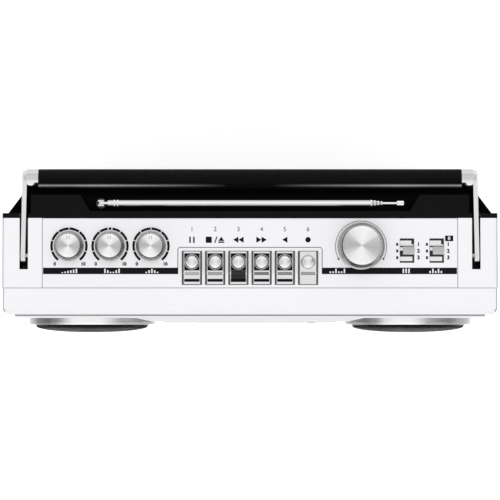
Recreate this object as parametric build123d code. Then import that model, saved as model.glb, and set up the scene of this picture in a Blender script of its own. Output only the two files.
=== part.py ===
from build123d import *
import math
import os

# A portable radio cassette recorder, in millimetres: X to the right, Y to the back, Z up.
# The origin is under the middle of the whole object, on the surface that its feet stand on.
# It is drawn with the handle folded back, the antenna pushed in and lying just above its recess.

# Overall case
body_width = 440.0
case_height = 246.0
cabinet_depth = 62.1
bezel_depth = 23.5
wall = 3.0
case_round = 3.0
edge_break = 0.5
fit = 0.15
slack = 0.3
shaft_fit = 0.05

# Feet
foot_height = 6.0
foot_radius = 9.0
foot_inset = 40.0
front_foot_setback = 16.0
rear_foot_inset = 21.0

# Front plate and its raised middle
plate_thickness = 2.7
plate_side_margin = 10.5
plate_edge_margin = 8.0
plate_ledge = 5.0
bezel_round = 6.0
lip_thickness = 1.5
island_height = 3.5
dial_zone_height = 65.0
dial_zone_half_width = 87.0
dial_zone_slope = 16.0
column_half_width = 82.0
column_slope = 3.0
island_edge = 3.0

# Speakers
speaker_margin = 2.2
column_gap = 7.3
speaker_z = 130.0
ring_width = 6.0
ring_height = 6.0
ring_round = 2.0
grille_height = 6.5
grille_thickness = 1.2
grille_roundness = 2.4
grille_flange = 3.4
speaker_depth = 27.7
basket_wall = 1.5
magnet_radius = 32.0
magnet_depth = 16.0
coil_radius = 12.5
cone_inset = 4.5
cone_flare = 2.0
surround_width = 5.0
paper = 1.0
cap_rise = 3.0

# Rear cover
cover_wall = 2.6
cover_flange = 4.4
cover_flange_step = 6.0
cover_depth = 38.0
cover_taper = 20.5
shelf_depth = 16.4
recess_front_margin = 1.8
recess_half_width = 142.0
recess_taper = 9.5
recess_depth = 14.0
vent_count = 9
vent_pitch = 9.0
vent_width = 4.0
vent_height = 50.0
vent_first_x = 66.0
vent_z = 132.0

# Battery bay and door
bay_half_width = 94.0
bay_height = 72.0
bay_depth = 36.0
bay_z = 26.0
bay_wall = 2.0
door_lap = 5.0
battery_door_thickness = 2.5
battery_hinge_radius = 3.0
battery_pin_radius = 1.2
finger_rib_count = 7
finger_rib_width = 2.0
finger_rib_length = 14.0

# Handle
slot_inner = 197.0
slot_width = 7.5
slot_wall = 2.5
slot_front = 45.5
handle_pivot_setback = 33.3
handle_pivot_drop = 9.0
handle_pin_radius = 2.5
arm_thickness = 4.0
arm_half_height = 8.0
arm_outer_gap = 0.9
grip_setback = 35.95
grip_drop = 22.0
grip_radius = 9.05
grip_half_length = 189.5
grip_ribs = 28
grip_rib_depth = 0.45
grip_clearance = 2.0
cap_round = 4.2
spigot_radius = 4.5
spigot_length = 20.0

# Control panel
panel_half_width = 184.4
panel_thickness = 3.0
rail_width = 4.0
rail_height = 4.0
board_drop = 20.0
board_thickness = 1.6
board_inner = 72.0
board_margin = 4.4
board_front = 6.2
board_back = 5.9
post_radius = 3.0
post_inset = 4.0

# Knobs
control_line = 24.9
volume_x = -160.6
balance_x = -124.2
tone_x = -87.8
small_knob_radius = 13.3
small_cap_radius = 10.4
small_knob_height = 11.0
small_shaft_radius = 3.0
tuning_x = 98.5
tuning_knob_radius = 20.9
tuning_cap_radius = 17.0
tuning_knob_height = 16.0
tuning_shaft_radius = 4.0
knob_gap = 0.5
knob_flange = 2.2
knob_flange_step = 1.0
knob_rim = 0.9
cap_depth = 1.2
cap_proud = 0.6
pot_size = 17.0
pot_height = 12.0
bushing_radius = 4.2
boss_radius = 7.0

# Transport keys
key_count = 6
key_pitch = 20.6
well_width = 17.4
well_length = 29.6
well_back = 29.5
key_rise = 2.0
key_skirt = 8.0
key_travel = 5.0
dome_radius = 6.65
dome_rise = 3.6
dome_setback = 9.5
key_plate_length = 18.6
key_step = 1.4
key_edge = 0.6
key_border = 1.6
key_groove_width = 2.6
key_groove_setback = 2.2
key_floor_gap = 2.0
guide_floor = 3.0
guide_wall = 1.7
stem_width = 6.0
stem_length = 12.0
stem_below = 6.0

# Slide switches
band_x = 139.3
function_x = 165.7
switch_slot_width = 12.9
switch_slot_length = 21.7
switch_line = 28.9
switch_travel = 5.0
lever_width = 9.8
lever_length = 7.1
lever_rise = 3.0
lever_step = 2.0
slider_thickness = 2.2
slider_lap = 0.8
lever_pin = 3.0
lever_pin_depth = 4.0

# Dial
window_half_width = 76.0
window_height = 32.0
window_z = 195.0
window_thickness = 1.6
seat_lip = 3.0
scale_half_width = 95.0
scale_height = 46.0
scale_z = 188.0
scale_thickness = 1.6
scale_setback = 11.7
rail_radius = 1.5
rail_rise = 3.0
pointer_setback = 7.7
pointer_width = 1.2
pointer_length = 40.0
carriage_width = 8.0
carriage_size = 6.0
pulley_radius = 32.0
pulley_thickness = 6.0
gang_size = 36.0
gang_height = 24.0
gang_shaft_radius = 3.0

# Cassette deck
deck_door_half_width = 64.0
deck_door_height = 84.0
deck_door_z = 72.0
deck_door_thickness = 3.0
deck_barrel_radius = 6.7
deck_pin_radius = 2.0
deck_pin_length = 4.0
deck_window_half_width = 50.0
deck_window_height = 50.0
deck_window_z = 94.0
pocket_half_width = 58.0
pocket_wall = 2.5
pocket_shelf = 2.0
pocket_shelf_sink = 0.8
pocket_depth = 11.9
deck_setback = 13.7
deck_plate = 1.5
deck_half_width = 75.0
deck_z = 56.0
deck_height = 116.0
deck_shelf = 30.0
spindle_x = 21.25
spindle_z = 114.0
spindle_radius = 3.0
spindle_reach = 8.0
spindle_hub_radius = 9.0
spindle_hub_thickness = 2.5
bearing_length = 12.0

# Antenna
antenna_end_gap = 10.0
antenna_tip_gap = 5.4
antenna_setback = 13.0
antenna_rise = 3.4
antenna_radius = 2.9
antenna_wall = 0.4
antenna_neck = 6.0
antenna_neck_thickness = 2.0
antenna_step = 3.0
antenna_rod_radius = 0.9
antenna_rod_show = 14.0
antenna_tip_radius = 2.15
antenna_tip_length = 6.3
antenna_tip_overlap = 1.0
knuckle_half = 2.5
knuckle_width = 5.4
antenna_stud_radius = 3.0
neck_half_height = 2.2
tilt_pin_radius = 1.0

# Inside and behind
screw_x = 186.0
screw_low = 8.0
screw_high = 14.0
screw_radius = 1.6
screw_head_radius = 3.4
screw_head_height = 2.2
screw_bite = 12.0
screw_slot_width = 0.8
screw_slot_length = 4.4
tube_radius = 4.0
inlet_x = 150.0
inlet_z = 58.0
inlet_width = 24.0
inlet_height = 16.0
inlet_depth = 20.0
inlet_flange = 3.0
jack_x = 60.0
jack_z = 40.0
jack_radius = 1.8
jack_body_radius = 5.0
jack_depth = 15.0
main_board_half_width = 70.0
main_board_depth = 50.0
main_board_lift = 5.0
capacitor_radius = 5.0
capacitor_height = 14.0
capacitor_pitch = 30.0
chip_width = 14.0
chip_depth = 12.0
chip_height = 4.0
chip_setback = 26.0
filter_can_size = 26.0
filter_can_height = 12.0
filter_can_x = 45.0
transformer_x = -139.0
transformer_width = 42.0
transformer_depth = 36.0
transformer_height = 37.0

# Places worked out from the sizes above
half_width = body_width / 2
z_base = foot_height
z_top = z_base + case_height
z_under = z_top - panel_thickness
front_reach = cabinet_depth + bezel_depth + plate_thickness + ring_height + grille_height
rear_reach = grip_setback + grip_radius
y_seam = (front_reach - rear_reach) / 2
y_cabinet = y_seam - cabinet_depth
y_bezel = y_cabinet - bezel_depth
y_plate = y_bezel - plate_thickness
y_island = y_plate - island_height
y_ring = y_plate - ring_height
y_flange = y_seam + cover_flange
y_step = y_flange + shelf_depth
y_back = y_seam + cover_depth
y_control = y_seam - control_line
y_switch = y_seam - switch_line
y_well = y_seam - well_back
slot_outer = slot_inner + slot_width
pivot_y = y_seam - handle_pivot_setback
pivot_z = z_top - handle_pivot_drop
grip_y = y_seam + grip_setback
grip_z = z_top - grip_drop
arm_slope = math.atan2(pivot_z - grip_z, grip_y - pivot_y)
slot_reach = y_flange + slack - pivot_y
slot_floor = pivot_z - slot_reach * math.tan(arm_slope) - arm_half_height / math.cos(arm_slope) - 1.0
z_step = grip_z - grip_radius - grip_clearance
recess_z = z_top - recess_depth
recess_front = y_flange + recess_front_margin
z_board = z_top - board_drop
plate_half_width = half_width - plate_side_margin
plate_bottom = z_base + plate_edge_margin
plate_top = z_top - plate_edge_margin
ring_radius = (plate_half_width - speaker_margin - column_half_width - column_gap) / 2
speaker_x = plate_half_width - speaker_margin - ring_radius
antenna_y = y_seam + antenna_setback
antenna_z = z_top + antenna_rise
antenna_x = antenna_end_gap - recess_half_width
antenna_reach = recess_half_width - antenna_tip_gap - antenna_x
antenna_length = (antenna_reach - antenna_neck - 3 * antenna_step - antenna_rod_show
                  - antenna_tip_length + antenna_tip_overlap)
guide_depth = key_skirt + key_travel + key_floor_gap + guide_floor - panel_thickness
deck_axis_y = y_island + deck_barrel_radius
deck_axis_z = deck_door_z + slack + deck_barrel_radius
screw_places = [(z_base + screw_low, y_back), (z_top - screw_high, y_step)]
parts = {}


def block(x, y, z):
    """A box from its low and high ends along each axis."""
    spans = (x, y, z)
    size = [high - low for low, high in spans]
    middle = [(high + low) / 2 for low, high in spans]
    return Pos(*middle) * Box(*size)


def rod_x(radius, x, y, z):
    return Pos((x[0] + x[1]) / 2, y, z) * Rot(0, 90, 0) * Cylinder(radius, x[1] - x[0])


def rod_y(radius, x, y, z):
    return Pos(x, (y[0] + y[1]) / 2, z) * Rot(90, 0, 0) * Cylinder(radius, y[1] - y[0])


def rod_z(radius, x, y, z):
    return Pos(x, y, (z[0] + z[1]) / 2) * Cylinder(radius, z[1] - z[0])


def both_sides(shape):
    return shape + mirror(shape, about=Plane.YZ)


def symmetric(half):
    return (-half, half)


def plan_prism(points, z):
    outline = Polyline(*[(x, y, z[0]) for x, y in points], close=True)
    return extrude(make_face(outline), z[1] - z[0], dir=(0, 0, 1))


def side_prism(points, x):
    outline = Polyline(*[(x[0], y, z) for y, z in points], close=True)
    return extrude(make_face(outline), x[1] - x[0], dir=(1, 0, 0))


def turned_about_y(points, x, z):
    """A body of revolution about a line along Y through (x, z), from (radius, y) points."""
    face = make_face(Polyline(*points, close=True))
    return Pos(x, 0, z) * revolve(face, Axis.Y)


def turned_about_z(points, x, y):
    """A body of revolution about a vertical line through (x, y), from (radius, z) points."""
    outline = Polyline(*[(r, 0, height) for r, height in points], close=True)
    return Pos(x, y, 0) * revolve(make_face(outline), Axis.Z)


def rounded_case(half, y, z):
    """A box whose four long edges, along Y, are rounded."""
    body = block(symmetric(half), y, z)
    return fillet(body.edges().filter_by(Axis.Y), case_round)


def feet():
    foot = Pos(half_width - foot_inset, 0, foot_height / 2) * Cone(foot_radius - 1, foot_radius, foot_height)
    rows = Pos(0, y_cabinet - front_foot_setback / 2, 0) * foot + Pos(0, y_back - rear_foot_inset, 0) * foot
    return both_sides(rows)


def arm_slot(grow, y):
    """The space of the right handle slot, grown by a wall on every side but the top."""
    return block((slot_inner - grow, slot_outer + grow), y, (slot_floor - grow, z_top + 1))


def main_cabinet():
    case = rounded_case(half_width, (y_cabinet, y_seam), (z_base, z_top))
    case = chamfer(case.faces().sort_by(Axis.Y)[0].edges(), edge_break)
    case -= block(symmetric(half_width - wall), (y_cabinet - 1, y_seam + 1), (z_base + wall, z_top - wall))
    opening = panel_half_width + fit
    case -= block(symmetric(opening), (y_cabinet - 1, y_seam + 1), (z_under, z_top + 1))
    depth = (y_cabinet, y_seam)
    rail = block((opening - rail_width, opening + slot_wall), depth, (z_under - rail_height, z_under))
    tie = block((opening, slot_inner), depth, (z_under - rail_height, z_top - wall / 2))
    trough = arm_slot(slot_wall, (y_seam - slot_front - slot_wall, y_seam)) & block(
        (0, half_width), (y_cabinet, y_seam), (0, z_top))
    case += both_sides(rail + tie + trough)
    case -= both_sides(arm_slot(0, (y_seam - slot_front, y_seam + 1)))
    pin = rod_x(handle_pin_radius + shaft_fit, (slot_inner - slot_wall - 1, slot_outer + slot_wall + 1),
                pivot_y, pivot_z)
    case -= both_sides(pin)
    for x in (-main_board_half_width + post_inset, main_board_half_width - post_inset):
        for y in main_board_ys():
            case += rod_z(post_radius, x, y, (z_base + wall - 0.5, z_base + wall + main_board_lift))
    return case


def main_board_ys():
    back = y_seam - post_inset
    return (back - main_board_depth + 2 * post_inset, back)


def main_board():
    z = z_base + wall + main_board_lift
    back = y_seam
    board = block(symmetric(main_board_half_width), (back - main_board_depth, back), (z, z + board_thickness))
    top = z + board_thickness
    for i in (-1.5, -0.5, 0.5):
        x = i * capacitor_pitch
        board += rod_z(capacitor_radius, x, back - capacitor_height, (top, top + capacitor_height))
        board += block((x - chip_width / 2, x + chip_width / 2), (back - chip_setback - chip_depth, back - chip_setback),
                       (top, top + chip_height))
    can = (filter_can_x - filter_can_size / 2, filter_can_x + filter_can_size / 2)
    return board + block(can, (back - capacitor_height - filter_can_size, back - capacitor_height),
                         (top, top + filter_can_height))


def front_bezel():
    frame = rounded_case(half_width - 0.5, (y_bezel, y_cabinet), (z_base, z_top))
    frame = chamfer(frame.faces().sort_by(Axis.Y)[-1].edges(), edge_break)
    upright = frame.faces().sort_by(Axis.Y)[0].edges().filter_by(Axis.Z)
    frame = fillet(upright, bezel_round)
    inner = half_width - 0.5 - wall
    frame -= block(symmetric(inner), (y_bezel + wall, y_cabinet + 1), (z_base + wall, z_top - wall))
    opening = plate_half_width - plate_ledge
    opening_z = (plate_bottom + plate_ledge, plate_top - plate_ledge)
    frame -= block(symmetric(opening), (y_bezel - 1, y_cabinet), opening_z)
    reach = half_width - wall - fit
    tongue = (y_cabinet - 1, y_cabinet + wall)
    lip_z = z_base + wall + fit
    lip = block(symmetric(reach), tongue, (lip_z, lip_z + lip_thickness))
    sides = block((reach - lip_thickness, reach), tongue, (lip_z, slot_floor - 2 * wall))
    frame += lip + both_sides(sides)
    for z, _ in screw_places:
        post = rod_y(tube_radius, screw_x, (y_bezel + wall / 2, y_seam), z)
        post -= rod_y(screw_radius, screw_x, (y_seam - 14, y_seam + 1), z)
        frame += both_sides(post)
    web_z = screw_places[1][0]
    web = block((screw_x - 1, screw_x + 1), (y_bezel + wall / 2, y_cabinet), (web_z + 1, z_top - wall + 0.5))
    return frame + both_sides(web)


def bevelled_pad(half_base, half_front, z):
    """A low raised field on the plate, with sloping ends and edges."""
    middle = (z[0] + z[1]) / 2
    height = z[1] - z[0]
    base = Plane.XZ.offset(-y_plate) * Pos(0, middle) * Rectangle(2 * half_base, height)
    front = Plane.XZ.offset(-y_island) * Pos(0, middle) * Rectangle(2 * half_front, height - 2 * island_edge)
    return loft([base.face(), front.face()])


def front_plate():
    plate = block(symmetric(plate_half_width), (y_plate, y_bezel), (plate_bottom, plate_top))
    zone_bottom = plate_top - island_edge - dial_zone_height
    plate += bevelled_pad(dial_zone_half_width + dial_zone_slope, dial_zone_half_width,
                          (zone_bottom, plate_top - island_edge))
    plate += bevelled_pad(column_half_width, column_half_width - column_slope,
                          (plate_bottom + plate_edge_margin, zone_bottom + 2 * island_edge))
    hole = ring_radius - ring_width - 2.5
    plate -= both_sides(rod_y(hole, speaker_x, (y_plate - 1, y_bezel + 1), speaker_z))
    plate -= block(symmetric(window_half_width), (y_island - 1, y_island + window_thickness),
                   (window_z, window_z + window_height))
    plate -= block(symmetric(window_half_width - seat_lip), (y_island - 1, y_bezel + 1),
                   (window_z + seat_lip, window_z + window_height - seat_lip))
    plate -= block(symmetric(deck_door_half_width), (y_island - 1, y_bezel + 1),
                   (deck_door_z, deck_door_z + deck_door_height))
    ear = block((deck_door_half_width + slack, deck_door_half_width + slack + deck_pin_length),
                (y_bezel - 0.5, deck_axis_y + 4.5), (deck_axis_z - 5, deck_axis_z + 5))
    plate += both_sides(ear)
    pin_reach = deck_door_half_width + slack + deck_pin_length
    plate -= rod_x(deck_pin_radius + shaft_fit, symmetric(pin_reach + 1), deck_axis_y, deck_axis_z)
    plate -= rod_y(jack_body_radius - 1 + fit, jack_x, (y_island - 1, y_bezel + 1), jack_z)
    return plate


def headphone_jack():
    body = rod_y(jack_body_radius, jack_x, (y_bezel, y_bezel + 12), jack_z)
    body += rod_y(jack_body_radius - 1, jack_x, (y_island - 1, y_bezel), jack_z)
    return body - rod_y(jack_radius, jack_x, (y_island - 2, y_island - 1 + jack_depth), jack_z)


def speaker_rings():
    inner = ring_radius - ring_width
    rebate = inner + grille_flange + fit
    depth = grille_thickness + fit
    points = [
        (inner, y_plate - depth),
        (inner, y_ring + ring_round / 2),
        (inner + ring_round / 2, y_ring),
        (ring_radius - ring_round, y_ring),
        (ring_radius - ring_round * 0.3, y_ring + ring_round * 0.3),
        (ring_radius, y_ring + ring_round),
        (ring_radius, y_plate),
        (rebate, y_plate),
        (rebate, y_plate - depth),
    ]
    return both_sides(turned_about_y(points, speaker_x, speaker_z))


def dome_curve(radius, height, y):
    """Points of the grille's flattened dome, from its edge to its middle."""
    steps = 8
    radii = [radius * math.sin(math.pi / 2 * (1 - i / steps)) for i in range(steps)]
    drop = [height * (1 - (r / radius) ** grille_roundness) ** (1 / grille_roundness) for r in radii]
    return [(r, y - d) for r, d in zip(radii, drop)] + [(0, y - height)]


def speaker_grilles():
    edge = ring_radius - ring_width - fit
    outer = dome_curve(edge, grille_height, y_ring)
    inner = dome_curve(edge - grille_thickness, grille_height - grille_thickness, y_ring)
    lines = Spline(*outer) + Spline(*inner) + Line(outer[-1], inner[-1])
    seat = y_plate - grille_thickness
    rim = Polyline(outer[0], (edge, seat), (edge + grille_flange, seat), (edge + grille_flange, y_plate),
                   (edge - grille_thickness, y_plate), inner[0])
    face = make_face(lines + rim)
    return both_sides(Pos(speaker_x, 0, speaker_z) * revolve(face, Axis.Y))


def speaker_frames():
    back = y_bezel + speaker_depth
    rim = ring_radius - grille_flange
    mouth = rim - 11
    points = [
        (mouth, y_bezel), (rim, y_bezel), (rim, y_bezel + 2), (mouth + 2, y_bezel + 2),
        (magnet_radius - 2, back - basket_wall), (magnet_radius - 2, back), (coil_radius + 1, back),
        (coil_radius + 1, back - basket_wall), (magnet_radius - 4, back - basket_wall), (mouth, y_bezel + 2),
    ]
    basket = turned_about_y(points, speaker_x, speaker_z)
    window_y = y_bezel + speaker_depth / 2
    window = magnet_radius / 4
    basket -= rod_x(window, (speaker_x - rim, speaker_x + rim), window_y, speaker_z)
    basket -= rod_z(window, speaker_x, window_y, (speaker_z - rim, speaker_z + rim))
    return both_sides(basket)


def flared(start, end):
    """A curve between two (radius, y) points that bows to the front."""
    middle = ((start[0] + end[0] - cone_flare) / 2, (start[1] + end[1]) / 2 - cone_flare)
    return Spline(start, middle, end)


def speaker_cones():
    """Each cone is a flat surround, flared paper, a domed dust cap and the tube of the coil."""
    edge = ring_radius - ring_width - cone_inset
    rear = y_bezel + speaker_depth
    neck = (coil_radius, rear - 9)
    crown = (0, neck[1] - cap_rise)
    tube_end = rear - paper / 2
    inner_neck = (coil_radius - paper, neck[1] + paper)
    inner_crown = (0, crown[1] + paper)
    outer_neck = (coil_radius, neck[1] + 1.5 * paper)
    rim = (edge - surround_width, y_bezel - paper)
    rear_rim = (rim[0] - 2 * paper, y_bezel)
    flat = (1, 0)
    cap = Spline(crown, neck, tangents=[flat, (1, 1)])
    inner_cap = Spline(inner_crown, inner_neck, tangents=[flat, (1, 1)])
    tube = Polyline(inner_neck, (coil_radius - paper, tube_end), (coil_radius, tube_end), outer_neck)
    surround = Polyline(rear_rim, (edge, y_bezel), (edge, y_bezel - paper), rim)
    axis = Line(inner_crown, crown)
    face = make_face(cap + flared(neck, rim) + surround + flared(rear_rim, outer_neck) + tube + inner_cap + axis)
    return both_sides(Pos(speaker_x, 0, speaker_z) * revolve(face, Axis.Y))


def speaker_magnets():
    back = y_bezel + speaker_depth
    magnet = rod_y(magnet_radius, speaker_x, (back, back + magnet_depth), speaker_z)
    magnet += rod_y(magnet_radius - 4, speaker_x, (back + magnet_depth, back + magnet_depth + 2), speaker_z)
    return both_sides(magnet)


def cover_plan(inset):
    """Half of the rear cover's outline seen from above, drawn in by a wall."""
    rear = half_width - cover_flange_step - cover_taper
    return [
        (half_width - inset, y_seam - (1 if inset else 0)),
        (half_width - inset, y_flange - inset),
        (half_width - cover_flange_step - inset, y_flange - inset),
        (rear - 1.2 * inset, y_back - inset),
    ]


def cover_body(inset):
    right = cover_plan(inset)
    left = [(-x, y) for x, y in reversed(right)]
    body = plan_prism(right + left, (z_base + inset, z_top - inset))
    body -= block(symmetric(half_width), (y_step - inset, y_back + 1), (z_step - inset, z_top + 1))
    channel = slot_inner - slot_wall - inset
    above_step = (z_step - inset, z_top + 1)
    body -= both_sides(block((channel, half_width), (y_flange - inset, y_back), above_step))
    recess_edge = recess_half_width + recess_taper
    body -= plan_prism([(-recess_half_width - inset, recess_front - inset),
                        (recess_half_width + inset, recess_front - inset),
                        (recess_edge + inset, y_step + 1), (-recess_edge - inset, y_step + 1)],
                       (recess_z - inset, z_top + 1))
    return body


def bay_box(grow):
    return block(symmetric(bay_half_width + grow), (y_back - bay_depth - grow, y_back + 1),
                 (bay_z - grow, bay_z + bay_height + grow))


def rear_cover():
    cover = cover_body(0) & rounded_case(half_width, (y_seam, y_back + 1), (z_base, z_top))
    cover -= cover_body(cover_wall)
    for z, y_head in screw_places:
        tube = rod_y(tube_radius + 1, screw_x, (y_seam, y_head - 0.5), z)
        cover += both_sides(tube & block((0, half_width), (y_seam, y_back), (z_base + 1, z_top)))
    for z, y_head in screw_places:
        well = rod_y(screw_head_radius + fit, screw_x, (y_seam + wall + 1, y_head + 1), z)
        cover -= both_sides(well + rod_y(screw_radius + fit, screw_x, (y_seam - 1, y_head), z))
    cover += bay_box(bay_wall) & block(symmetric(half_width), (y_seam, y_back), (z_base, z_top))
    door_half = bay_half_width + door_lap
    cover += block(symmetric(door_half + bay_wall), (y_back - 3 * battery_hinge_radius, y_back),
                   (battery_axis_z() - 2 * battery_hinge_radius, bay_z + bay_height + door_lap + bay_wall))
    cover -= bay_box(0)
    rebate_z = bay_z + bay_height + door_lap
    cover -= block(symmetric(door_half), (y_back - battery_door_thickness - fit, y_back + 1),
                   (battery_axis_z(), rebate_z))
    barrel = rod_x(battery_hinge_radius + slack, symmetric(door_half), battery_axis_y(), battery_axis_z())
    cover -= barrel
    cover -= block(symmetric(door_half), (battery_axis_y(), y_back + 1),
                   (battery_axis_z() - battery_hinge_radius - slack, battery_axis_z()))
    cover -= rod_x(battery_pin_radius + shaft_fit, symmetric(door_half + bay_wall + 1),
                   battery_axis_y(), battery_axis_z())
    for i in range(vent_count):
        x = vent_first_x + i * vent_pitch
        cover -= both_sides(block((x, x + vent_width), (y_back - 2 * cover_wall, y_back + 1),
                                  (vent_z, vent_z + vent_height)))
    cover -= block((inlet_x - inlet_width / 2 - fit, inlet_x + inlet_width / 2 + fit),
                   (y_back - 2 * cover_wall, y_back + 1),
                   (inlet_z - inlet_height / 2 - fit, inlet_z + inlet_height / 2 + fit))
    stud_hole = antenna_stud_radius + shaft_fit
    cover -= rod_z(stud_hole, antenna_x, antenna_y, (recess_z - 2 * cover_wall, recess_z + 1))
    cover -= both_sides(arm_slot(0, (y_seam - 1, y_flange + 1)))
    return cover


def battery_axis_y():
    return y_back - battery_hinge_radius


def battery_axis_z():
    return bay_z - door_lap


def hinged_panel(half, face, inward, thickness, radius, axis_z, top):
    """A flat panel whose lower edge is a round hinge barrel, flush with the panel's face."""
    axis = face + inward * radius
    back = face + inward * thickness
    join = axis_z + math.sqrt(radius ** 2 - (radius - thickness) ** 2)
    turn = radius / math.sqrt(2)
    flat = Polyline((face, axis_z), (face, top), (back, top), (back, join))
    barrel = ThreePointArc((back, join), (axis + inward * turn, axis_z - turn), (face, axis_z))
    plane = Plane(origin=(-half, 0, 0), x_dir=(0, 1, 0), z_dir=(1, 0, 0))
    return extrude(plane * make_face(flat + barrel), 2 * half)


def battery_door():
    half = bay_half_width + door_lap - slack
    z_low = battery_axis_z()
    grip_top = bay_z + bay_height
    door = hinged_panel(half, y_back, -1, battery_door_thickness, battery_hinge_radius, z_low,
                        grip_top + door_lap - slack)
    door += rod_x(battery_pin_radius, symmetric(half + slack + bay_wall), battery_axis_y(), z_low)
    for i in range(finger_rib_count):
        x = (i - (finger_rib_count - 1) / 2) * 2 * finger_rib_width
        door -= block((x - finger_rib_width / 2, x + finger_rib_width / 2), (y_back - 0.8, y_back + 1),
                      (grip_top - finger_rib_length, grip_top))
    return door


def mains_inlet():
    half_w, half_h = inlet_width / 2, inlet_height / 2
    body = block((inlet_x - half_w, inlet_x + half_w), (y_back - inlet_depth, y_back),
                 (inlet_z - half_h, inlet_z + half_h))
    body += block((inlet_x - half_w - inlet_flange, inlet_x + half_w + inlet_flange), (y_back, y_back + 1.5),
                  (inlet_z - half_h - inlet_flange, inlet_z + half_h + inlet_flange))
    body -= block((inlet_x - half_w + 3, inlet_x + half_w - 3), (y_back - inlet_depth + 4, y_back + 3),
                  (inlet_z - half_h + 3, inlet_z + half_h - 3))
    for x in (inlet_x - 4.3, inlet_x + 4.3):
        body += rod_y(1.2, x, (y_back - inlet_depth + 3, y_back - 3), inlet_z)
    return body


def case_screws():
    screws = None
    for z, y_head in screw_places:
        tip = y_seam - screw_bite
        seat = y_seam + wall + 1
        screw = rod_y(screw_radius - shaft_fit, screw_x, (tip, seat), z)
        screw += rod_y(screw_head_radius, screw_x, (seat, seat + screw_head_height), z)
        half_length, half_slot = screw_slot_length / 2, screw_slot_width / 2
        screw -= block((screw_x - half_length, screw_x + half_length), (seat + screw_head_height / 2, y_head),
                       (z - half_slot, z + half_slot))
        pair = both_sides(screw)
        screws = pair if screws is None else screws + pair
    return screws


def power_transformer():
    z = z_base + wall
    left, right = transformer_x - transformer_width / 2, transformer_x + transformer_width / 2
    middle = y_seam - 8 - transformer_depth / 2
    front, back = middle - transformer_depth / 2, middle + transformer_depth / 2
    body = block((left, right), (front + 8, back - 8), (z, z + transformer_height))
    body += block((left + 6, right - 6), (front, back), (z + 6, z + transformer_height - 6))
    return body + block((left - 6, right + 6), (front + 8, back - 8), (z, z + 1.5))


def control_panel():
    panel = block(symmetric(panel_half_width), (y_cabinet + fit, y_seam - fit), (z_under, z_top))
    panel = chamfer(panel.faces().sort_by(Axis.Z)[-1].edges(), edge_break)
    for x in key_xs():
        well_x = (x - well_width / 2, x + well_width / 2)
        panel -= block(well_x, (y_well - well_length, y_well), (0, z_top + 1))
    for x in (band_x, function_x):
        panel -= block((x - switch_slot_width / 2, x + switch_slot_width / 2),
                       (y_switch - switch_slot_length / 2, y_switch + switch_slot_length / 2), (0, z_top + 1))
    for x, y in post_places():
        panel += rod_z(post_radius, x, y, (z_board, z_under + 0.5))
    panel += rod_z(boss_radius, tuning_x, y_control, (z_board, z_under + 0.5))
    panel -= rod_z(tuning_shaft_radius + shaft_fit, tuning_x, y_control, (0, z_top + 1))
    for x in (volume_x, balance_x, tone_x):
        panel -= rod_z(bushing_radius + fit, x, y_control, (0, z_top + 1))
    return panel


def board_span():
    return (y_cabinet + board_front, y_seam - board_back)


def post_places():
    front, back = board_span()
    xs = (board_inner + post_inset, panel_half_width - board_margin - post_inset)
    return [(side * x, y) for side in (-1, 1) for x in xs for y in (front + post_inset, back - post_inset)]


def control_boards():
    board = both_sides(block((board_inner, panel_half_width - board_margin), board_span(),
                             (z_board - board_thickness, z_board)))
    board -= rod_z(tuning_shaft_radius + slack, tuning_x, y_control, (0, z_top))
    board -= block((drum_x() - gang_shaft_radius - 1, drum_x() + gang_shaft_radius + 1),
                   (y_control - 4, y_control + 4), (0, z_board - board_thickness))
    return board


def key_xs():
    first = -(key_count - 1) / 2
    return [(first + i) * key_pitch for i in range(key_count)]


def key_guide():
    reach = (key_count - 1) / 2 * key_pitch + well_width / 2 + guide_wall
    bottom = z_under - guide_depth
    guide_y = (y_well - well_length - guide_wall, y_well + guide_wall)
    guide = block(symmetric(reach), guide_y, (bottom, z_under))
    for x in key_xs():
        guide -= block((x - well_width / 2, x + well_width / 2), (y_well - well_length, y_well),
                       (bottom + guide_floor, z_under + 1))
        half = stem_width / 2 + fit
        guide -= block((x - half, x + half), stem_span(fit), (0, z_under))
    return guide


def stem_span(grow):
    middle = y_well - dome_setback
    return (middle - stem_length / 2 - grow, middle + stem_length / 2 + grow)


def transport_key(x):
    back = y_well - slack
    front = y_well - well_length + slack
    top = z_top + key_rise
    tread = top - key_step
    edge = back - key_plate_length
    skirt = z_top - key_skirt
    profile = [(back, top), (edge, top), (edge - key_step, tread), (front + key_edge, tread),
               (front, tread - key_edge), (front, skirt), (back, skirt)]
    half = well_width / 2 - slack
    key = side_prism(profile, (x - half, x + half))
    middle = y_well - dome_setback
    inner = half - key_border
    key -= block((x - inner, x + inner), (middle - dome_radius - 1, middle + dome_radius + 1),
                 (top - key_step, top + 1))
    groove = front + key_groove_setback
    key -= block((x - inner, x + inner), (groove, groove + key_groove_width), (tread - key_step, tread + 1))
    dome_base = top - key_step - 0.5
    height = top + dome_rise - dome_base
    ball = (dome_radius ** 2 + height ** 2) / (2 * height)
    dome = Pos(x, middle, top + dome_rise - ball) * Sphere(ball)
    key += dome & rod_z(dome_radius, x, middle, (dome_base, top + dome_rise + 1))
    bottom = z_under - guide_depth - stem_below
    return key + block((x - stem_width / 2, x + stem_width / 2), stem_span(0), (bottom, skirt + 1))


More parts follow.
